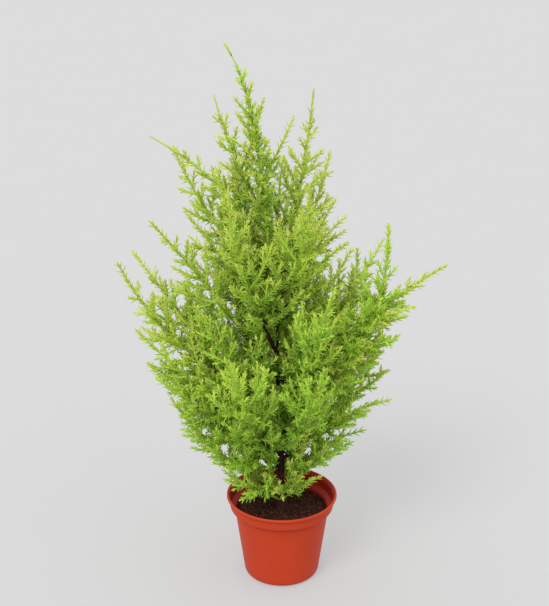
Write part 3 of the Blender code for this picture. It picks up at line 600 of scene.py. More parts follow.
# name, height where it leaves the trunk, bearing, reach, rise, bow, bare tip and bare limb:
# millimetres and degrees, and the bow as a share of the length
boughTable = [
    ("top_left", 408, 164.5, 53, 126, 0.03, 24, 0),
    ("shoot_left", 460, -165.4, 30, 35, -0.07, 0, 0),
    ("whip_left", 362, -175.6, 118, 136, -0.09, 27, 0),
    ("high_left", 349, 172.6, 97, 130, 0.08, 0, 0),
    ("upper_left", 330, -140.0, 72, 140, 0.03, 0, 0),
    ("shoulder_left", 288, 154.2, 101, 111, 0.0, 0, 0),
    ("behind_left", 276, 151.4, 101, 96, -0.07, 0, 0),
    ("mid_left", 227, -165.4, 129, 188, -0.02, 0, 34),
    ("long_left", 164, 167.8, 156, 196, 0.0, 0, 40),
    ("far_left", 209, -169.2, 163, 162, 0.10, 0, 58),
    ("belly_left", 150, -157.8, 154, 160, 0.02, 0, 0),
    ("fore_left", 178, -142.9, 104, 160, 0.02, 0, 0),
    ("low_left", 128, 172.1, 142, 110, 0.02, 0, 0),
    ("lower_left", 115, -161.3, 141, 154, -0.02, 0, 0),
    ("under_left", 132, -153.7, 139, 128, 0.01, 0, 0),
    ("skirt_left", 96, -155.8, 123, 136, 0.06, 0, 0),
    ("rim_left", 86, -146.5, 73, 58, 0.03, 0, 0),
    ("droop_left", 107, -139.0, 55, 0, -0.16, 0, 0),
    ("drip_left", 113, -126.5, 52, 0, -0.12, 0, 0),
    ("peak_right", 450, -14.0, 31, 64, 0.02, 0, 0),
    ("top_right", 348, 26.0, 47, 189, 0.05, 22, 0),
    ("high_right", 298, 40.8, 75, 165, 0.01, 0, 0),
    ("upper_right", 302, -10.3, 61, 129, -0.01, 0, 0),
    ("shoulder_right", 283, -17.7, 71, 134, -0.07, 0, 0),
    ("behind_right", 275, -39.6, 89, 127, -0.08, 0, 0),
    ("inner_right", 206, -24.4, 79, 181, -0.02, 0, 0),
    ("step_right", 248, 17.0, 87, 118, 0.22, 0, 0),
    ("mid_right", 223, 28.5, 126, 142, 0.03, 0, 44),
    ("near_right", 203, -16.8, 112, 209, 0.15, 0, 44),
    ("whip_right", 156, -5.9, 166, 208, -0.09, 0, 56),
    ("belly_right", 160, -26.0, 144, 178, -0.12, 0, 0),
    ("edge_right", 190, -10.7, 122, 99, -0.02, 0, 0),
    ("low_right", 136, 14.7, 111, 135, 0.13, 0, 0),
    ("lower_right", 110, -0.4, 114, 97, -0.13, 0, 0),
    ("foot_right", 94, 5.8, 88, 72, -0.12, 0, 0),
    ("skirt_right", 100, -32.4, 85, 80, -0.02, 0, 0),
    ("foot_front", 89, -57.5, 54, 127, 0.04, 0, 0),
    ("spray_front", 88, -36.0, 41, 37, 0.02, 0, 0),
    ("front_left", 142, -111.0, 147, 173, 0.06, 0, 0),
    ("front_mid", 204, -64.0, 118, 168, 0.07, 0, 0),
    ("front_right", 165, -74.0, 146, 141, 0.06, 0, 0),
    ("front_high_left", 262, -121.0, 88, 196, 0.06, 0, 0),
    ("front_high_right", 284, -66.0, 80, 182, 0.06, 0, 0),
    ("back_low_left", 118, 118.0, 148, 118, 0.04, 0, 0),
    ("back_low_right", 140, 64.0, 144, 130, 0.04, 0, 0),
    ("back_mid_left", 205, 104.0, 134, 138, 0.05, 0, 0),
    ("back_mid_right", 240, 80.0, 116, 140, 0.05, 0, 0),
    ("back_high_left", 310, 110.0, 82, 122, 0.06, 0, 0),
    ("back_high_right", 350, 78.0, 60, 104, 0.06, 0, 0),
]

# side shoots near the leader's top: height, bearing, length
leaderShoots = [
    (549, 15.0, 8.0), (545, 180.0, 6.0), (540, -85.0, 7.0), (533, 10.0, 12.0), (526, -80.0, 9.0),
    (518, 85.0, 10.0), (514, 180.0, 23.0), (509, 20.0, 12.0), (508, -160.0, 11.0), (506, 5.0, 25.0),
    (500, -70.0, 13.0), (495, 178.0, 27.0), (489, -95.0, 16.0), (484, -175.0, 20.0),
    (480, 80.0, 20.0), (473, -20.0, 18.0),
]


def trunkCentre(height):
    # (-lean, sway, height): the lean grows with a low power of the height, the nod with a high one
    height = np.asarray(height, dtype=float)
    span = (plant["plantTop"] - plant["soilTop"]) * mm
    share = np.clip((height - plant["soilTop"] * mm) / span, 0, 1)
    lean = plant["lean"] * share ** plant["leanPower"] + plant["nod"] * share ** plant["nodPower"]
    sway = plant["sway"] * np.sin(2 * math.pi * share)
    return np.stack([-lean * mm, sway * mm, height], axis=-1)


def trunkRadius(height):
    # even taper from the soil to the leader's foot, then on to its tip
    heights = [plant[key] * mm for key in ("soilTop", "trunkTop", "plantTop")]
    radii = [plant[key] * mm for key in ("trunkRadius", "trunkTopRadius", "leaderTipRadius")]
    return np.interp(height, heights, radii)


def boughLines(steps):
    # start + chord t + sag bow 4t(1-t) + side sway sin(2 pi t), one row for each bough
    rows = np.array([row[1:] for row in boughTable], dtype=float)
    leaves, bearing, reach, rise, bow, whip, bare = rows.T
    start = trunkCentre(leaves * mm)
    turn = np.radians(bearing)
    outward = np.stack([np.cos(turn), np.sin(turn), np.zeros_like(turn)], axis=-1)
    up = np.array([0.0, 0.0, 1.0])
    chord = outward * reach[:, None] * mm + up * rise[:, None] * mm
    length = np.linalg.norm(chord, axis=1)
    forward = chord / length[:, None]
    sag = unit(outward - forward * np.sum(outward * forward, axis=1, keepdims=True))
    side = np.cross(forward, sag)
    t = np.linspace(0, 1, steps)[None, :, None]
    hand = np.where(np.arange(len(rows)) % 2 == 1, 1.0, -1.0)
    arch = sag[:, None] * (bow * length)[:, None, None] * 4 * t * (1 - t)
    swing = side[:, None] * (hand * plant["boughSway"] * length)[:, None, None] * np.sin(2 * math.pi * t)
    lines = start[:, None] + chord[:, None] * t + arch + swing
    return lines, length, side, whip * mm, bare * mm


lineSteps = plant["lineSteps"]
boughLine, boughLength, boughSide, boughWhip, boughBare = boughLines(lineSteps)
leaderHeights = np.linspace(plant["leaderFoliageFrom"], plant["plantTop"], lineSteps) * mm
leaderLine = trunkCentre(leaderHeights)


def boughRadii(t):
    # tip + (thick - tip) (1 - t)^power, where thick is the radius plus a share of the length
    thick = plant["boughRadius"] * mm + plant["boughRadiusShare"] * boughLength
    tip = plant["boughTipRadius"] * mm
    return tip + (thick[:, None] - tip) * (1 - t[None, :]) ** plant["boughTaperPower"]


bark = {
    "trunkSides": 24, "trunkRings": 340,
    "ringPower": 1.15,            # rings stand closer at the foot
    "buried": 3.0,                # mm of trunk under the soil's surface
    "boughSides": 10, "boughRings": 64,
    # depth of the trunk's relief in mm, the radius under which it falls, and its least share
    "fissure": 0.30, "fullFissureRadius": 3.0, "leastFissure": 0.35,
    "boughRelief": 0.09,          # the same on a bough, as a share of its radius
    "ridge": 0.7, "ridgeWaves": (900.0, 160.0),      # share of the depth, waves per metre round and up
    "flake": 0.45, "flakeWaves": (1500.0, 520.0),
    "rootSwell": 0.45, "rootTurn": 0.6,
    "knots": 0.22, "knotWaves": 60.0,
    "collar": 0.5, "collarRun": 5.0,     # swelling at a bough's foot and the mm it fades over
    "greenLeft": (100.0, 165.0),  # mm from a bough's tip over which green turns to bark
    "trunkGreen": (0.340, 0.400),        # metres up the trunk over which bark turns to green
    "brownBark": ((0.014, 0.0055, 0.0045), (0.060, 0.022, 0.016)),
    "greenStem": ((0.25, 0.39, 0.028), (0.35, 0.49, 0.045)),
    "grain": (380.0, 1500.0, 0.5), "grainStretch": 0.35,
    "roughness": 0.8, "specular": 0.15,
    "bump": (0.7, 0.0004),        # strength, and depth in metres
}


def barkMaterial():
    # brown flaky bark that turns to smooth green stem by the mesh's own youth attribute
    material, tree, shader, position = newMaterial("barkAndStem", bark["roughness"])
    shader.inputs["Specular IOR Level"].default_value = bark["specular"]
    stretch = tree.nodes.new("ShaderNodeMapping")
    stretch.inputs["Scale"].default_value = (1.0, 1.0, bark["grainStretch"])
    tree.links.new(position, stretch.inputs["Vector"])
    grain = addGrain(tree, stretch.outputs["Vector"], *bark["grain"])
    brown = mixColours(tree, grain.outputs["Mask"], *bark["brownBark"])
    green = mixColours(tree, grain.outputs["Mask"], *bark["greenStem"])
    youth = tree.nodes.new("ShaderNodeAttribute")
    youth.attribute_name = "youth"
    colour = mixColours(tree, youth.outputs["Fac"], brown, green)
    tree.links.new(colour, shader.inputs["Base Color"])
    addBump(tree, shader, grain.outputs["Height"], *bark["bump"])
    return material


def barkRelief(vertices, centres, depth):
    # p + outward * depth * (ridge (1 - 2 |n|) + flake m), with n and m two noises that change more
    # slowly up the stem than round it, so that the fissures run long
    (ridgeRound, ridgeUp), (flakeRound, flakeUp) = bark["ridgeWaves"], bark["flakeWaves"]
    place = np.concatenate([vertices[..., :2] * ridgeRound, vertices[..., 2:] * ridgeUp], axis=-1)
    ridges = 1 - np.abs(softNoise(place, 5)) * 2
    place = np.concatenate([vertices[..., :2] * flakeRound, vertices[..., 2:] * flakeUp], axis=-1)
    flakes = softNoise(place, 6)
    outward = unit(vertices - centres)
    return vertices + outward * (ridges * bark["ridge"] + flakes * bark["flake"])[..., None] * depth


def makeBark():
    # trunk: radius (1 + knots noise) + flare exp(-rise) (1 + swell cos(roots v)); a bough's radius
    # swells by 1 + collar exp(-x / run) at its foot; both then take the relief
    rings, sides = bark["trunkRings"], bark["trunkSides"]
    top = plant["plantTop"] * mm
    foot = plant["soilTop"] * mm - bark["buried"] * mm
    heights = foot + (top - foot) * np.linspace(0, 1, rings) ** bark["ringPower"]
    centres = trunkCentre(heights)
    angle = np.linspace(0, 2 * math.pi, sides, endpoint=False)
    rise = np.maximum(heights - plant["soilTop"] * mm, 0) / (plant["flareHeight"] * mm)
    roots = 1 + bark["rootSwell"] * np.cos(plant["flareRoots"] * angle + bark["rootTurn"])
    flare = plant["flare"] * mm * np.exp(-rise)[:, None] * roots
    along = heights * bark["knotWaves"]
    knots = bark["knots"] * softNoise(np.stack([along, heights * 0, heights * 0], -1), 9)
    radius = trunkRadius(heights)[:, None] * (1 + knots[:, None]) + flare
    guide = np.array([[1.0, 0.0, 0.0]])
    trunkPoints, trunkFaces = tubeMesh(centres[None], radius[None], sides, guide)
    grid = trunkPoints.reshape(rings, sides, 3)
    thickness = trunkRadius(heights) / (bark["fullFissureRadius"] * mm)
    depth = bark["fissure"] * mm * np.clip(thickness, bark["leastFissure"], 1.0)
    grid = barkRelief(grid, centres[:, None], depth[:, None, None])
    trunkYouth = np.interp(heights, bark["trunkGreen"], [0.0, 1.0])
    t = np.linspace(0, 1, bark["boughRings"])
    pick = np.round(t * (lineSteps - 1)).astype(int)
    lines = boughLine[:, pick]
    radii = boughRadii(t)
    fade = np.exp(-t[None] * boughLength[:, None] / (bark["collarRun"] * mm))
    collar = 1 + bark["collar"] * fade
    boughPoints, boughFaces = tubeMesh(lines, (radii * collar)[..., None], bark["boughSides"], boughSide)
    boughGrid = boughPoints.reshape(len(lines), len(t), bark["boughSides"], 3)
    relief = (radii * bark["boughRelief"])[:, :, None, None]
    boughGrid = barkRelief(boughGrid, lines[:, :, None], relief)
    left = (1 - t[None, :]) * boughLength[:, None] / mm
    youth = np.interp(left, bark["greenLeft"], [1.0, 0.0])
    boughYouth = np.broadcast_to(youth[:, :, None], boughGrid.shape[:3])
    vertices, faces = joinMeshes([(grid.reshape(-1, 3), trunkFaces),
                                  (boughGrid.reshape(-1, 3), boughFaces)])
    limbs = [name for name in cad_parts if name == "trunk" or name.startswith("bough_")]
    piece = makePiece("barkLimbs", vertices, faces, barkMaterial(), "bark", replaced=limbs)
    shade = piece.data.attributes.new("youth", "FLOAT", "POINT")
    trunkShade = np.repeat(trunkYouth, sides)
    shade.data.foreach_set("value", np.concatenate([trunkShade, boughYouth.ravel()]).astype(np.float32))


makeBark()
print("stage: bark")


foliage = {
    "seed": 31,
    "angle": 48.0,                # degrees between a shoot and what carries it
    "angleSpread": (0.78, 1.2),   # shares of the angle and of the length that chance may take
    "lengthSpread": (0.70, 1.12),
    "turnSpread": 0.45,           # radians round the bearer
    "spacingSpread": 0.3,         # share of a step
    "waver": 0.10,                # how far its last heading strays
    "stemRadius": (1.55, 1.35, 1.60),   # millimetres on boughs, on shoots and round a bough's end
    "stemShare": 0.006,           # share of a shoot's length that its stem is thicker by
    "stemTaper": 0.45,            # share of its radius that a stem loses by its tip
    # the end of a bough thins to this share of its radius over its last millimetres
    "endShare": 0.5, "endRun": 60.0,
    "upward": 0.16,               # how far shoots turn up
    "frontUpward": 0.60,          # the same on the boughs that come forward
    "onward": 0.24,               # how far they turn on towards their bearer's tip
    "lowRise": 15.0,              # on a bough that rises less than this, shoots droop
    "droop": -0.9,
    "leaderRise": 200.0,          # the leader's own rise, and its top without these shoots
    "leaderWhip": 38.0,
    "leafless": 7.0,              # least bare millimetres at a bough's foot
    # shoots on boughs, on those, and on those again, in millimetres: where the first leaves, the
    # step at the foot and at the tip, then length = foot + share * left + curve * left^2
    "order2": {"first": 4.0, "step": 7.2, "tipStep": 6.4, "foot": 3.0, "share": 0.06,
               "curve": 0.0038, "longest": 66.0, "shortest": 6.0},
    "order3": {"first": 6.0, "step": 6.6, "tipStep": 6.2, "foot": 4.2, "share": 0.26,
               "curve": 0.0038, "longest": 28.0, "shortest": 6.0},
    "order4": {"first": 6.0, "step": 6.4, "tipStep": 6.4, "foot": 4.6, "share": 0.22,
               "curve": 0.0, "longest": 10.0, "shortest": 5.6},
    "bearingLength": 16.0,        # only shoots longer than this carry others of the last kind
    "underside": 0.25,            # share by which shoots under their bearer stay shorter
    "frontUnderside": 0.75,       # the same on the boughs that come forward
    "upperside": 0.3,             # the most of it by which upper ones grow longer
    # on the trunk itself: from, to, step and length, then the share of the length at each height
    "trunkShoots": (150.0, 528.0, 4.4, 40.0),
    "trunkShootShare": ((300.0, 1.0), (400.0, 0.40), (450.0, 0.26), (528.0, 0.17)),
    "trunkShootSpread": (0.7, 1.1),
    "trunkShootTurn": 0.4,
    "trunkShootClimb": (0.35, 0.9),     # rise over run at the start
    "trunkShootSteeper": ((0.30, 0.45), (1.0, 2.0)),   # metres up the trunk, times the climb
    "trunkShootUp": 0.8,
    "leaderAngle": 36.0,
    "bareShare": 0.35,            # share of a limb's bare length that stays bare
    "leaderRuleTo": 462.0,        # above this height the leader's own list takes over
    "potRim": 62.0, "potTop": 97.5,
    "soilRoom": 2.5,              # how far over the soil a tip stays
    "potInside": 50.0,            # distance from the axis under which a tip is clear of the rim
    "lowestSeen": 86.0,           # a tip may hide no lower part of the axis than this from the front
    # the lowest height a shoot's tip may have at each distance from the axis
    "skirt": ((0.0, 104.0), (40.0, 112.0), (70.0, 126.0), (90.0, 144.0), (115.0, 186.0),
              (150.0, 248.0)),
    # how much higher it is at the far left and right, reached at raiseAt to each side and only
    # raiseRun or more out from the axis
    "skirtRaise": (8.0, 30.0), "raiseAt": 80.0, "raiseRun": 60.0,
    # gaps through which the trunk shows from the front: one of footHalf to each side from footLow
    # to footTop, then narrower ones a spacing apart; sight is how steeply they are looked into
    "gaps": {"footLow": 117.0, "footTop": 140.0, "footHalf": 7.0, "half": 6.5, "spacing": 40.0,
             "top": 400.0, "front": 6.0, "sight": 0.40},
    # these may hang under the skirt
    "lowBoughs": ("droop_left", "drip_left", "rim_left", "foot_front", "spray_front"),
    # how full the side shoots of some boughs are
    "fullness": {"leader": 0.5, "peak_right": 0.65, "shoot_left": 0.8, "foot_front": 0.75,
                 "whip_left": 0.62, "top_right": 0.75, "low_right": 2.0, "lower_right": 1.7,
                 "foot_right": 1.5, "droop_left": 1.4, "drip_left": 1.4, "rim_left": 1.8,
                 "low_left": 1.1},
    # how much lighter, or darker where it is negative, some boughs are tinted than the rest: partly
    # their own colour, partly painted light on most right-hand boughs and painted shade on the low front
    # and low back boughs
    "shade": {"near_right": -2.8, "mid_right": -0.8, "step_right": -1.8, "low_right": 0.6,
              "whip_right": 1.4, "belly_right": 1.0, "edge_right": 1.2, "high_right": 1.2,
              "upper_right": 1.0, "shoulder_right": 1.0, "inner_right": 1.0, "top_right": 0.8,
              "lower_right": 0.8, "far_left": 0.2, "foot_front": 4.0, "leader": -0.6,
              "rim_left": 1.2, "droop_left": 1.2, "drip_left": 1.2, "spray_front": 1.6,
              "front_left": -1.0, "front_mid": -1.6, "front_right": -2.2, "skirt_right": -2.0,
              "foot_right": -1.2, "back_low_left": -1.4, "back_low_right": -1.4,
              "lower_left": -0.6, "fore_left": -0.6, "belly_left": -0.4, "trunk": -1.0},
    # how far chance carries the tint of a bough, a shoot on it, one on the trunk or leader, a twig
    "tintSpread": {"bough": 0.35, "shoot": 0.35, "trunk": 0.4, "leader": 0.3, "twig": 0.25},
    "tuftRoom": (2.0, 4.0),       # millimetres at a bough's tip and the leader's that a tuft takes
    "leafyLength": 150.0,         # millimetres at a bough's end with needles of its own
    "leafyFrom": 0.08,            # least share of its length at which they begin
    "leafyCut": 9.0,              # length of the straight pieces it is cut into
    # stretches without needles, in millimetres from the tip
    "smooth": {"leader": (9.0, 20.0), "top_left": (0.0, 20.0), "whip_left": (0.0, 24.0)},
}


def lineAt(lines, who, share):
    # point and tangent at a share of each sampled line
    spot = np.clip(share, 0, 1) * (lineSteps - 1)
    low = np.minimum(spot.astype(int), lineSteps - 2)
    part = (spot - low)[:, None]
    start, end = lines[who, low], lines[who, low + 1]
    return start + (end - start) * part, unit(end - start)


def shootAt(shoots, who, along):
    # a shoot bends evenly from its first heading to its last: p = s + a x + (b - a) x^2 / 2L
    length = shoots["length"][who][:, None]
    x = along[:, None]
    first, last = shoots["out"][who], shoots["end"][who]
    point = shoots["start"][who] + first * x + (last - first) * x * x / (2 * length)
    return point, unit(first + (last - first) * x / length)


def spacedAlong(lengths, rule, rng, whips=0.0):
    # places along many bearers: x = first + free u (2 step + (tipStep - step) u) / (step + tipStep),
    # so that the step changes evenly from foot to tip
    first, step, tipStep = (rule[key] * mm for key in ("first", "step", "tipStep"))
    free = lengths - first - whips
    count = np.maximum(np.floor(free / ((step + tipStep) / 2)).astype(int), 0)
    who = np.repeat(np.arange(len(lengths)), count)
    order = np.arange(len(who)) - np.repeat(np.cumsum(count) - count, count)
    spread = foliage["spacingSpread"]
    u = (order + 0.5 + rng.uniform(-spread, spread, len(who))) / count[who]
    curved = u * (2 * step + (tipStep - step) * u) / (step + tipStep)
    return who, order, first + curved * free[who]


def sideShoots(point, tangent, order, phase, left, rule, rng, lift, under):
    # shoots that leave a bearer, each a golden turn on: tangent cos a + away sin a at the start, with
    # some up and some onward added by the end; length = foot + share * left + curve * left^2
    count = len(point)
    spread = foliage["turnSpread"]
    turn = phase + order * goldenTurn + rng.uniform(-spread, spread, count)
    base = across(tangent)
    other = np.cross(tangent, base)
    away = base * np.cos(turn)[:, None] + other * np.sin(turn)[:, None]
    lean = np.radians(foliage["angle"]) * rng.uniform(*foliage["angleSpread"], count)[:, None]
    out = unit(tangent * np.cos(lean) + away * np.sin(lean))
    up = np.array([0.0, 0.0, 1.0]) * lift[:, None]
    end = unit(out + up + tangent * foliage["onward"] + rng.normal(0, foliage["waver"], (count, 3)))
    grown = rule["foot"] * mm + rule["share"] * left + rule["curve"] / mm * left ** 2
    length = np.minimum(grown, rule["longest"] * mm)
    length = length * (1 + under * np.minimum(away[:, 2], foliage["upperside"]))
    return out, end, length * rng.uniform(*foliage["lengthSpread"], count)


boughNames = [row[0] for row in boughTable] + ["leader", "trunk"]
lowBoughs = np.array([name in foliage["lowBoughs"] for name in boughNames])
fullness = np.array([foliage["fullness"].get(name, 1.0) for name in boughNames])
shade = np.array([foliage["shade"].get(name, 0.0) for name in boughNames])
frontBoughs = np.array([name.startswith("front_") for name in boughNames])
underside = np.where(frontBoughs, foliage["frontUnderside"], foliage["underside"])


def beforeTrunk(points):
    # true where |x - trunk's x| is under the gap's half-width at the height that the point hides
    gap = foliage["gaps"]
    hidden = points[:, 2] + gap["sight"] * points[:, 1]
    wave = np.sin(2 * math.pi * (hidden / mm - gap["footTop"]) / gap["spacing"])
    half = np.where(hidden < gap["footTop"] * mm, gap["footHalf"], gap["half"] * np.maximum(wave, 0))
    half = np.where(hidden < gap["footLow"] * mm, 0, half)
    off = np.abs(points[:, 0] - trunkCentre(hidden)[:, 0])
    return (off < half * mm) & (points[:, 1] < -gap["front"] * mm) & (hidden < gap["top"] * mm)


def clearOfPot(bough, tip):
    # false where a shoot would end at the pot's rim, in the soil, before a gap, too low to the front
    # or under the skirt, whose height runs evenly between the listed ones
    reach = np.hypot(tip[:, 0], tip[:, 1])
    onRim = (reach > foliage["potInside"] * mm) & (reach < foliage["potRim"] * mm)
    inside = (tip[:, 2] < foliage["potTop"] * mm) & onRim
    skirtReach, skirtHeight = np.array(foliage["skirt"]).T * mm
    aside = foliage["raiseAt"] * mm
    raised = np.interp(tip[:, 0], [-aside, aside], foliage["skirtRaise"]) * mm
    raised = raised * np.minimum(reach / (foliage["raiseRun"] * mm), 1)
    hangs = (tip[:, 2] < np.interp(reach, skirtReach, skirtHeight) + raised) & ~lowBoughs[bough]
    low = tip[:, 2] + foliage["gaps"]["sight"] * tip[:, 1] < foliage["lowestSeen"] * mm
    buried = tip[:, 2] < (plant["soilTop"] + foliage["soilRoom"]) * mm
    return ~inside & ~hangs & ~beforeTrunk(tip) & ~low & ~buried


def pickShoots(shoots, keep):
    # the same rows of every array
    return {key: value[keep] for key, value in shoots.items()}


def stemRadii(which, length):
    # radius + share * length
    return foliage["stemRadius"][which] * mm + length * foliage["stemShare"]


def growOnBoughs(rng):
    # the first side shoots, on every bough beyond its bare limb and on the leader
    lines = np.concatenate([boughLine, leaderLine[None]])
    leaderLength = leaderLine[-1, 2] - leaderLine[0, 2]
    lengths = np.append(boughLength, leaderLength)
    rise = np.array([row[4] for row in boughTable] + [foliage["leaderRise"]])
    bare = np.append(np.maximum(boughBare * foliage["bareShare"], foliage["leafless"] * mm), 0.0)
    whips = np.append(boughWhip, foliage["leaderWhip"] * mm)
    who, order, along = spacedAlong(lengths - bare, foliage["order2"], rng, whips)
    along = along + bare[who]
    point, tangent = lineAt(lines, who, along / lengths[who])
    left = lengths[who] - along
    phase = rng.uniform(0, 2 * math.pi, len(lengths))[who]
    upward = np.where(frontBoughs[who], foliage["frontUpward"], foliage["upward"])
    lift = np.where(rise[who] > foliage["lowRise"], upward, foliage["droop"])
    rule = foliage["order2"]
    out, end, length = sideShoots(point, tangent, order, phase, left, rule, rng, lift, underside[who])
    length = np.minimum(length * fullness[who], rule["longest"] * mm)
    spread = foliage["tintSpread"]
    tint = shade[who] + rng.normal(0, spread["bough"], len(lengths))[who]
    tint = tint + rng.normal(0, spread["shoot"], len(who))
    shoots = {"start": point, "out": out, "end": end, "length": length, "bough": who,
              "left": left, "lift": lift, "tint": tint, "radius": stemRadii(0, length)}
    tip = shootAt(shoots, np.arange(len(who)), length)[0]
    middle = shootAt(shoots, np.arange(len(who)), length / 2)[0]
    listed = (who == len(boughTable)) & (point[:, 2] > foliage["leaderRuleTo"] * mm)
    clear = clearOfPot(shoots["bough"], tip) & ~beforeTrunk(middle)
    keep = (length > rule["shortest"] * mm) & clear & ~listed
    return pickShoots(shoots, keep)


def growOnLeader(rng):
    # the listed side shoots near the top: tangent cos a + away sin a, with a the leader's own angle
    heights, bearings, lengths = np.array(leaderShoots).T
    heights, lengths = heights * mm, lengths * mm
    count = len(heights)
    point = trunkCentre(heights)
    tangent = unit(trunkCentre(heights + mm) - point)
    turn = np.radians(bearings)
    away = np.stack([np.cos(turn), np.sin(turn), np.zeros(count)], axis=-1)
    away = unit(away - tangent * np.sum(away * tangent, axis=1, keepdims=True))
    lean = math.radians(foliage["leaderAngle"])
    out = tangent * math.cos(lean) + away * math.sin(lean)
    end = unit(out + [0.0, 0.0, foliage["upward"]] + tangent * foliage["onward"])
    return {"start": point, "out": out, "end": end, "length": lengths,
            "bough": np.full(count, len(boughTable)), "left": plant["plantTop"] * mm - heights,
            "lift": np.full(count, foliage["upward"]),
            "tint": rng.normal(0, foliage["tintSpread"]["leader"], count),
            "radius": stemRadii(0, lengths)}


def growOnTrunk(rng):
    # short leafy shoots between the boughs, each a golden angle on from the last: they start along
    # (cos v, sin v, climb) and end along the same with some up added
    low, high, step, grown = foliage["trunkShoots"]
    heights = np.arange(low, high, step) * mm
    count = len(heights)
    point = trunkCentre(heights)
    spread = foliage["trunkShootTurn"]
    turn = np.arange(count) * goldenTurn + rng.uniform(-spread, spread, count)
    climb = rng.uniform(*foliage["trunkShootClimb"], count)
    climb = climb * np.interp(heights, *foliage["trunkShootSteeper"])
    out = unit(np.stack([np.cos(turn), np.sin(turn), climb], axis=-1))
    end = unit(out + [0.0, 0.0, foliage["trunkShootUp"]])
    shareHeights, shares = np.array(foliage["trunkShootShare"]).T
    length = grown * mm * rng.uniform(*foliage["trunkShootSpread"], count)
    length = length * np.interp(heights / mm, shareHeights, shares)
    shoots = {"start": point, "out": out, "end": end, "length": length,
              "bough": np.full(count, len(boughLength) + 1), "left": length,
              "lift": np.full(count, foliage["upward"]),
              "tint": shade[-1] + rng.normal(0, foliage["tintSpread"]["trunk"], count),
              "radius": stemRadii(0, length)}
    middle = shootAt(shoots, np.arange(count), length / 2)[0]
    tip = shootAt(shoots, np.arange(count), length)[0]
    return pickShoots(shoots, ~beforeTrunk(middle) & ~beforeTrunk(tip))


def growOnShoots(parents, rule, rng):
    # the same rule again, on shoots in place of boughs
    who, order, along = spacedAlong(parents["length"], rule, rng)
    point, tangent = shootAt(parents, who, along)
    left = parents["length"][who] - along
    phase = rng.uniform(0, 2 * math.pi, len(parents["length"]))[who]
    lift = parents["lift"][who]
    under = underside[parents["bough"][who]]
    out, end, length = sideShoots(point, tangent, order, phase, left, rule, rng, lift, under)
    shoots = {"start": point, "out": out, "end": end, "length": length,
              "bough": parents["bough"][who], "left": parents["left"][who], "lift": lift,
              "tint": parents["tint"][who] + rng.normal(0, foliage["tintSpread"]["twig"], len(who)),
              "radius": stemRadii(1, length)}
    tip = shootAt(shoots, np.arange(len(who)), length)[0]
    keep = (length > rule["shortest"] * mm) & clearOfPot(shoots["bough"], tip)
    return pickShoots(shoots, keep)


def shootTubes(shoots, rings, sides):
    # a tube along each shoot whose radius falls as r (1 - taper u)
    count = len(shoots["length"])
    u = np.linspace(0, 1, rings)
    who = np.repeat(np.arange(count), rings)
    along = (shoots["length"][:, None] * u).ravel()
    lines = shootAt(shoots, who, along)[0].reshape(count, rings, 3)
    radii = shoots["radius"][:, None] * (1 - foliage["stemTaper"] * u)
    return tubeMesh(lines, radii[..., None], sides, across(shoots["out"]))


rng = np.random.default_rng(foliage["seed"])
onBoughs = growOnBoughs(rng)
onTrunk = growOnTrunk(rng)
onLeader = growOnLeader(rng)
order2 = {key: np.concatenate([onBoughs[key], onTrunk[key], onLeader[key]]) for key in onBoughs}
order3 = growOnShoots(order2, foliage["order3"], rng)
bearing = pickShoots(order3, order3["length"] > foliage["bearingLength"] * mm)
order4 = growOnShoots(bearing, foliage["order4"], rng)
print("stage: shoots", len(order2["length"]), len(order3["length"]), len(order4["length"]))


# the crown's usual half-width at some heights, in metres, and the shares of it between stem tints
crown = {
    "heights": (0.08, 0.20, 0.32, 0.45, 0.58),
    "halfWidths": (0.07, 0.13, 0.15, 0.09, 0.02),
    "stemEdges": (0.42, 0.75),
    "stemRoughness": 0.6,
    "stemGrain": (300.0, 1500.0),
    # rings and sides of each kind of shoot's tube
    "tubes": {"order2": (8, 5), "order3": (4, 4), "order4": (3, 3), "leafy": (2, 6),
              "leader": (2, 6)},
}

# stem tints from the inside of the crown to its tips: two close colours for each
stemTints = {
    "innerStems": ((0.160, 0.270, 0.022), (0.225, 0.350, 0.028)),
    "greenStems": ((0.290, 0.450, 0.034), (0.345, 0.500, 0.042)),
    "freshStems": ((0.370, 0.510, 0.046), (0.425, 0.545, 0.058)),
}


def crownShare(points, depth=1.0):
    # distance from the trunk's axis, with its depth part weighed, over the half-width at that height
    axis = trunkCentre(points[:, 2])
    outward = np.hypot(points[:, 0] - axis[:, 0], (points[:, 1] - axis[:, 1]) * depth)
    return outward / np.interp(points[:, 2], crown["heights"], crown["halfWidths"])


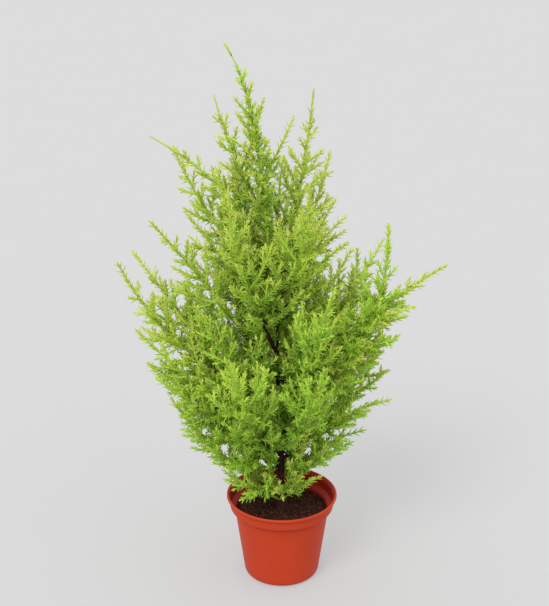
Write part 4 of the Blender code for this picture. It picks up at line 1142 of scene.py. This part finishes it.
def boughShoots():
    # the outer part of each bough and the leader, cut into short straight shoots for needles
    lines = np.concatenate([boughLine, leaderLine[None]])
    lengths = np.append(boughLength, leaderLine[-1, 2] - leaderLine[0, 2])
    whips = np.append(boughWhip, 0.0)
    starts = np.maximum(1 - foliage["leafyLength"] * mm / boughLength, foliage["leafyFrom"])
    starts = np.append(starts, 0.0)
    room = np.full(len(lengths), foliage["tuftRoom"][0])
    room[-1] = foliage["tuftRoom"][1]
    ends = 1 - room * mm / lengths
    rows = {"leafy": [], "leader": [], "whip": []}
    for k, length in enumerate(lengths):
        pieces = int(length * (ends[k] - starts[k]) / (foliage["leafyCut"] * mm))
        smoothFrom, smoothTo = foliage["smooth"].get(boughNames[k], (0.0, 0.0))
        for piece in range(pieces):
            low = starts[k] + (ends[k] - starts[k]) * piece / pieces
            high = starts[k] + (ends[k] - starts[k]) * (piece + 1) / pieces
            left = (1 - (low + high) / 2) * length / mm
            leafy = "leader" if boughNames[k] == "leader" else "leafy"
            kind = "whip" if left < whips[k] / mm else leafy
            if not smoothFrom <= left < smoothTo:
                rows[kind].append((k, low, high))
    made = {}
    for kind, spans in rows.items():
        who, low, high = np.array(spans).T
        who = who.astype(int)
        start, first = lineAt(lines, who, low)
        stop, last = lineAt(lines, who, high)
        left = (1 - high) * lengths[who]
        thin = np.interp(left, [0, foliage["endRun"] * mm], [foliage["endShare"], 1])
        made[kind] = {"start": start, "out": first, "end": last, "bough": who, "left": left,
                      "length": np.linalg.norm(stop - start, axis=1), "lift": np.zeros(len(who)),
                      "tint": shade[who], "radius": foliage["stemRadius"][2] * mm * thin}
    return made


carriers = {"order2": order2, "order3": order3, "order4": order4, **boughShoots()}


def makeTwigs():
    # every shoot's stem as a tube, dealt to a tint by its middle's share of the crown
    for k, (name, (first, second)) in enumerate(stemTints.items()):
        material = mottledMaterial(name, first, second, crown["stemRoughness"], *crown["stemGrain"])
        parts = []
        for kind, (rings, sides) in crown["tubes"].items():
            shoots = carriers[kind]
            middle = shootAt(shoots, np.arange(len(shoots["length"])), shoots["length"] * 0.5)[0]
            mine = np.digitize(crownShare(middle), crown["stemEdges"]) == k
            parts.append(shootTubes(pickShoots(shoots, mine), rings, sides))
        makePiece(name, *joinMeshes(parts), material, "foliage")


makeTwigs()
print("stage: twigs")


needle = {
    "length": 6.0, "width": 1.75,       # mm; a shorter one is narrower by its length's square root
    "footAngle": 50.0, "tipAngle": 26.0,     # degrees from the shoot at its foot and at its tip
    "angleSpread": 0.09,
    "lengthSpread": (0.86, 1.10),
    "shorter": 0.62, "shorterOver": 9.0,     # share at the shoot's tip, and mm over which it grows
    "turnStep": 1.7, "turnSpread": 0.13,     # radians between shoots, and by chance
    "rootTaper": 0.6, "rootDepth": 0.15,     # where a needle roots, as shares of the stem's radius
    # the needles that close each shoot's tip
    "tuft": 5,
    "tuftLength": 4.2,
    "tuftLengthSpread": (0.8, 1.15),
    "tuftAngle": (4.0, 12.0), "tuftAngleSpread": 0.15, "tuftTurn": 0.9,
    "tuftStep": 0.02,             # share of the length between their three levels
    "tuftRoot": 0.3,
    "tuftShare": 1.15,            # where they count along the shoot for their age
    "perPiece": 24000,
    "keel": 0.70,
    "shoulder": 0.25, "neck": 0.74,   # shares of the length between which it keeps its width
    "neckWidth": 0.56,
    "onward": 0.20,               # how far its tip curves on towards the shoot's tip
    "leaderShare": 0.55, "leaderRun": 45.0,   # share of the length at the leader's tip, and over what
    "oliveRun": 45.0, "oliveShare": 0.8,      # mm of a whip's end and share of a shoot that turn olive
    "roughness": 0.55, "specular": 0.24,
    "grain": (160.0, 700.0),
}

# for each kind of shoot: mm between pairs, needle length, a weight on its age, share of the angle
needleSets = {
    "order2": (2.6, 7.6, -0.04, 1.0),
    "order3": (2.5, 7.0, 0.02, 1.0),
    "order4": (2.5, 6.4, 0.06, 1.0),
    "leafy": (2.4, 8.2, 0.0, 0.95),
    "leader": (2.0, 7.8, 0.0, 1.1),
    "whip": (1.2, 4.6, 0.3, 0.5),
}

# what each trait adds to a needle's tint value, partly its age and partly painted light and shade, and
# the values between one tint and the next
age = {
    "share": 0.35,                # its place from its shoot's foot to its tip
    "outer": 0.26, "outerMost": 1.1, "depthWeight": 0.5,   # its distance from the trunk
    "spray": 0.12,                # its shoot's own tint
    # painted light and shade: needles high in the crown take lighter, yellower tints and low ones
    # darker, as light falls from above
    "high": 0.38, "heights": (0.08, 0.18, 0.26, 0.48), "heightLevels": (-0.34, -0.10, 0.38, 1.0),
    "lit": 0.24, "litFrom": 0.3,  # painted light: how far it points up, so that needles facing up take lighter tints
    "spread": 0.07,
    "edges": (0.28, 0.44, 0.60, 0.76, 0.92),
}

# needle tints from the darkest to the lightest, freshest tips, dealt out partly by age and partly as
# painted light and shade: two close colours for each
needleTints = {
    "innerNeedles": ((0.242, 0.440, 0.035), (0.278, 0.478, 0.041)),
    "deepNeedles": ((0.335, 0.555, 0.048), (0.368, 0.572, 0.054)),
    "leafNeedles": ((0.378, 0.556, 0.054), (0.412, 0.568, 0.062)),
    "freshNeedles": ((0.422, 0.552, 0.062), (0.452, 0.562, 0.072)),
    "limeNeedles": ((0.452, 0.528, 0.076), (0.476, 0.538, 0.088)),
    "tipNeedles": ((0.472, 0.522, 0.100), (0.494, 0.532, 0.116)),
    "oliveNeedles": ((0.375, 0.445, 0.050), (0.420, 0.485, 0.062)),
}


def needlesOnShoots(shoots, rng, step, size, spread):
    # pairs along each shoot, each pair a quarter turn from the last, at foot + (tip - foot) x / length
    # degrees to it, then a tuft at the tip
    length = shoots["length"]
    count = np.maximum((length / (step * mm)).astype(int), 1)
    who = np.repeat(np.arange(len(length)), count)
    order = np.arange(len(who)) - np.repeat(np.cumsum(count) - count, count)
    along = length[who] * (order + 0.5) / count[who]
    who, order, along = (np.repeat(value, 2) for value in (who, order, along))
    half = np.tile([0.0, math.pi], len(who) // 2)
    point, tangent = shootAt(shoots, who, along)
    turn = order * math.pi / 2 + half + who * needle["turnStep"]
    turn = turn + rng.normal(0, needle["turnSpread"], len(who))
    share = along / length[who]
    angle = np.radians(needle["footAngle"] + (needle["tipAngle"] - needle["footAngle"]) * share)
    angle = angle * rng.normal(1, needle["angleSpread"], len(who)) * spread
    grown = needle["shorter"] + (length[who] - along) / (needle["shorterOver"] * mm)
    long = size * mm * rng.uniform(*needle["lengthSpread"], len(who)) * np.clip(grown, 0, 1)
    radius = shoots["radius"][who] * (1 - needle["rootTaper"] * share)
    paired = needleFrame(point, tangent, turn, angle, long, radius)
    paired["who"] = who
    paired["share"] = share
    tuftWho = np.repeat(np.arange(len(length)), needle["tuft"])
    k = np.tile(np.arange(needle["tuft"]), len(length))
    point, tangent = shootAt(shoots, tuftWho, length[tuftWho] * (1 - needle["tuftStep"] * (k % 3)))
    turn = k * goldenTurn + tuftWho * needle["tuftTurn"]
    least, more = needle["tuftAngle"]
    angle = np.radians(least + more * (k / needle["tuft"]))
    angle = angle * rng.normal(1, needle["tuftAngleSpread"], len(k))
    long = needle["tuftLength"] * mm * rng.uniform(*needle["tuftLengthSpread"], len(k))
    long = long * size / needle["length"]
    radius = shoots["radius"][tuftWho] * needle["tuftRoot"]
    tuft = needleFrame(point, tangent, turn, angle, long, radius)
    tuft["who"] = tuftWho
    tuft["share"] = np.full(len(k), needle["tuftShare"])
    return {key: np.concatenate([paired[key], tuft[key]]) for key in paired}


def needleFrame(point, tangent, turn, angle, length, radius):
    # spoke = base cos(turn) + other sin(turn), heading = tangent cos(angle) + spoke sin(angle)
    base = across(tangent)
    other = np.cross(tangent, base)
    spoke = base * np.cos(turn)[:, None] + other * np.sin(turn)[:, None]
    heading = tangent * np.cos(angle)[:, None] + spoke * np.sin(angle)[:, None]
    root = point + spoke * (radius * needle["rootDepth"])[:, None]
    return {"root": root, "heading": heading, "spoke": spoke, "tangent": tangent, "length": length}


def needleMesh(parts):
    # closed blunt straps of eight triangles: root, shoulders and neck lowered off the keel, and a
    # tip; the outline bends evenly towards the shoot's own heading as onward * share^2
    heading, length = parts["heading"], parts["length"][:, None]
    outward = unit(parts["spoke"] - heading * np.sum(parts["spoke"] * heading, axis=1, keepdims=True))
    width = needle["width"] * mm * np.sqrt(length / (needle["length"] * mm))
    side = np.cross(outward, heading) * width / 2
    rows = []
    for share, wide in ((0.0, 0.0), (needle["shoulder"], 1.0), (needle["neck"], needle["neckWidth"]),
                        (1.0, 0.0)):
        bend = parts["tangent"] * length * needle["onward"] * share ** 2
        spine = parts["root"] + heading * length * share + bend
        lowered = spine - outward * width * needle["keel"] * wide
        rows += [spine] if wide == 0 else [lowered + side * wide, lowered - side * wide]
    corners = np.stack(rows, axis=1)
    quads = np.array([[0, 5, 3, 1], [0, 2, 4, 5], [1, 3, 4, 2]])
    ends = np.array([[0, 1, 2], [5, 4, 3]])
    offset = 6 * np.arange(len(corners))[:, None, None]
    return corners.reshape(-1, 3), [(quads + offset).reshape(-1, 4), (ends + offset).reshape(-1, 3)]


def needleAgeAndLight(parts, spray, weight):
    # a weighed sum: low for a needle deep in the crown, low down or pointing down, high for an outer tip
    # high up or pointing up; partly its age, partly painted light and shade
    root = parts["root"]
    traits = {"share": parts["share"],
              "outer": np.clip(crownShare(root, age["depthWeight"]), 0, age["outerMost"]),
              "spray": spray,
              "high": np.interp(root[:, 2], age["heights"], age["heightLevels"]),
              "lit": parts["heading"][:, 2] - age["litFrom"]}
    for name, trait in traits.items():
        weight = weight + age[name] * trait
    return weight


def growNeedles(rng):
    # the needles of every kind of shoot in one set of arrays, each with its tint value of age and
    # painted light and shade
    sets = []
    whipBoughs = np.append(boughWhip > 0, [False, False])
    for kind, (step, size, weight, spread) in needleSets.items():
        shoots = carriers[kind]
        parts = needlesOnShoots(shoots, rng, step, size, spread)
        who = parts.pop("who")
        left = shoots["left"][who]
        if kind == "leader":
            shorter = [needle["leaderShare"], 1.0]
            parts["length"] *= np.interp(left, [0.0, needle["leaderRun"] * mm], shorter)
        parts["age"] = needleAgeAndLight(parts, shoots["tint"][who], weight)
        parts["olive"] = whipBoughs[shoots["bough"][who]] & (left < needle["oliveRun"] * mm)
        sets.append(parts)
    return {key: np.concatenate([part[key] for part in sets]) for key in sets[0]}


def makeNeedles():
    # one material and one or more pieces for each tint, which the tint value of age and painted light
    # and shade picks by its edges
    rng = np.random.default_rng(foliage["seed"] + 1)
    every = growNeedles(rng)
    every["age"] = every["age"] + rng.normal(0, age["spread"], len(every["age"]))
    tint = np.digitize(every["age"], age["edges"])
    tint[every["olive"] & (every["share"] < needle["oliveShare"]) & (tint > 1)] = len(needleTints) - 1
    masses = [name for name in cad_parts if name.startswith("foliage_")]
    print("stage: needles", len(tint), np.bincount(tint))
    for k, (name, (first, second)) in enumerate(needleTints.items()):
        material = mottledMaterial(name, first, second, needle["roughness"], *needle["grain"])
        shader = material.node_tree.nodes["Principled BSDF"]
        shader.inputs["Specular IOR Level"].default_value = needle["specular"]
        mine = np.flatnonzero(tint == k)
        pieces = math.ceil(len(mine) / needle["perPiece"])
        for piece in range(pieces):
            some = mine[piece::pieces]
            part = {key: every[key][some] for key in every}
            vertices, faces = needleMesh(part)
            label = name if pieces == 1 else f"{name}_{piece + 1}"
            item = makePiece(label, vertices, faces, material, "foliage", smooth=False)
            if masses:
                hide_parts(*masses)
                masses = []


makeNeedles()
print("stage: needles done")
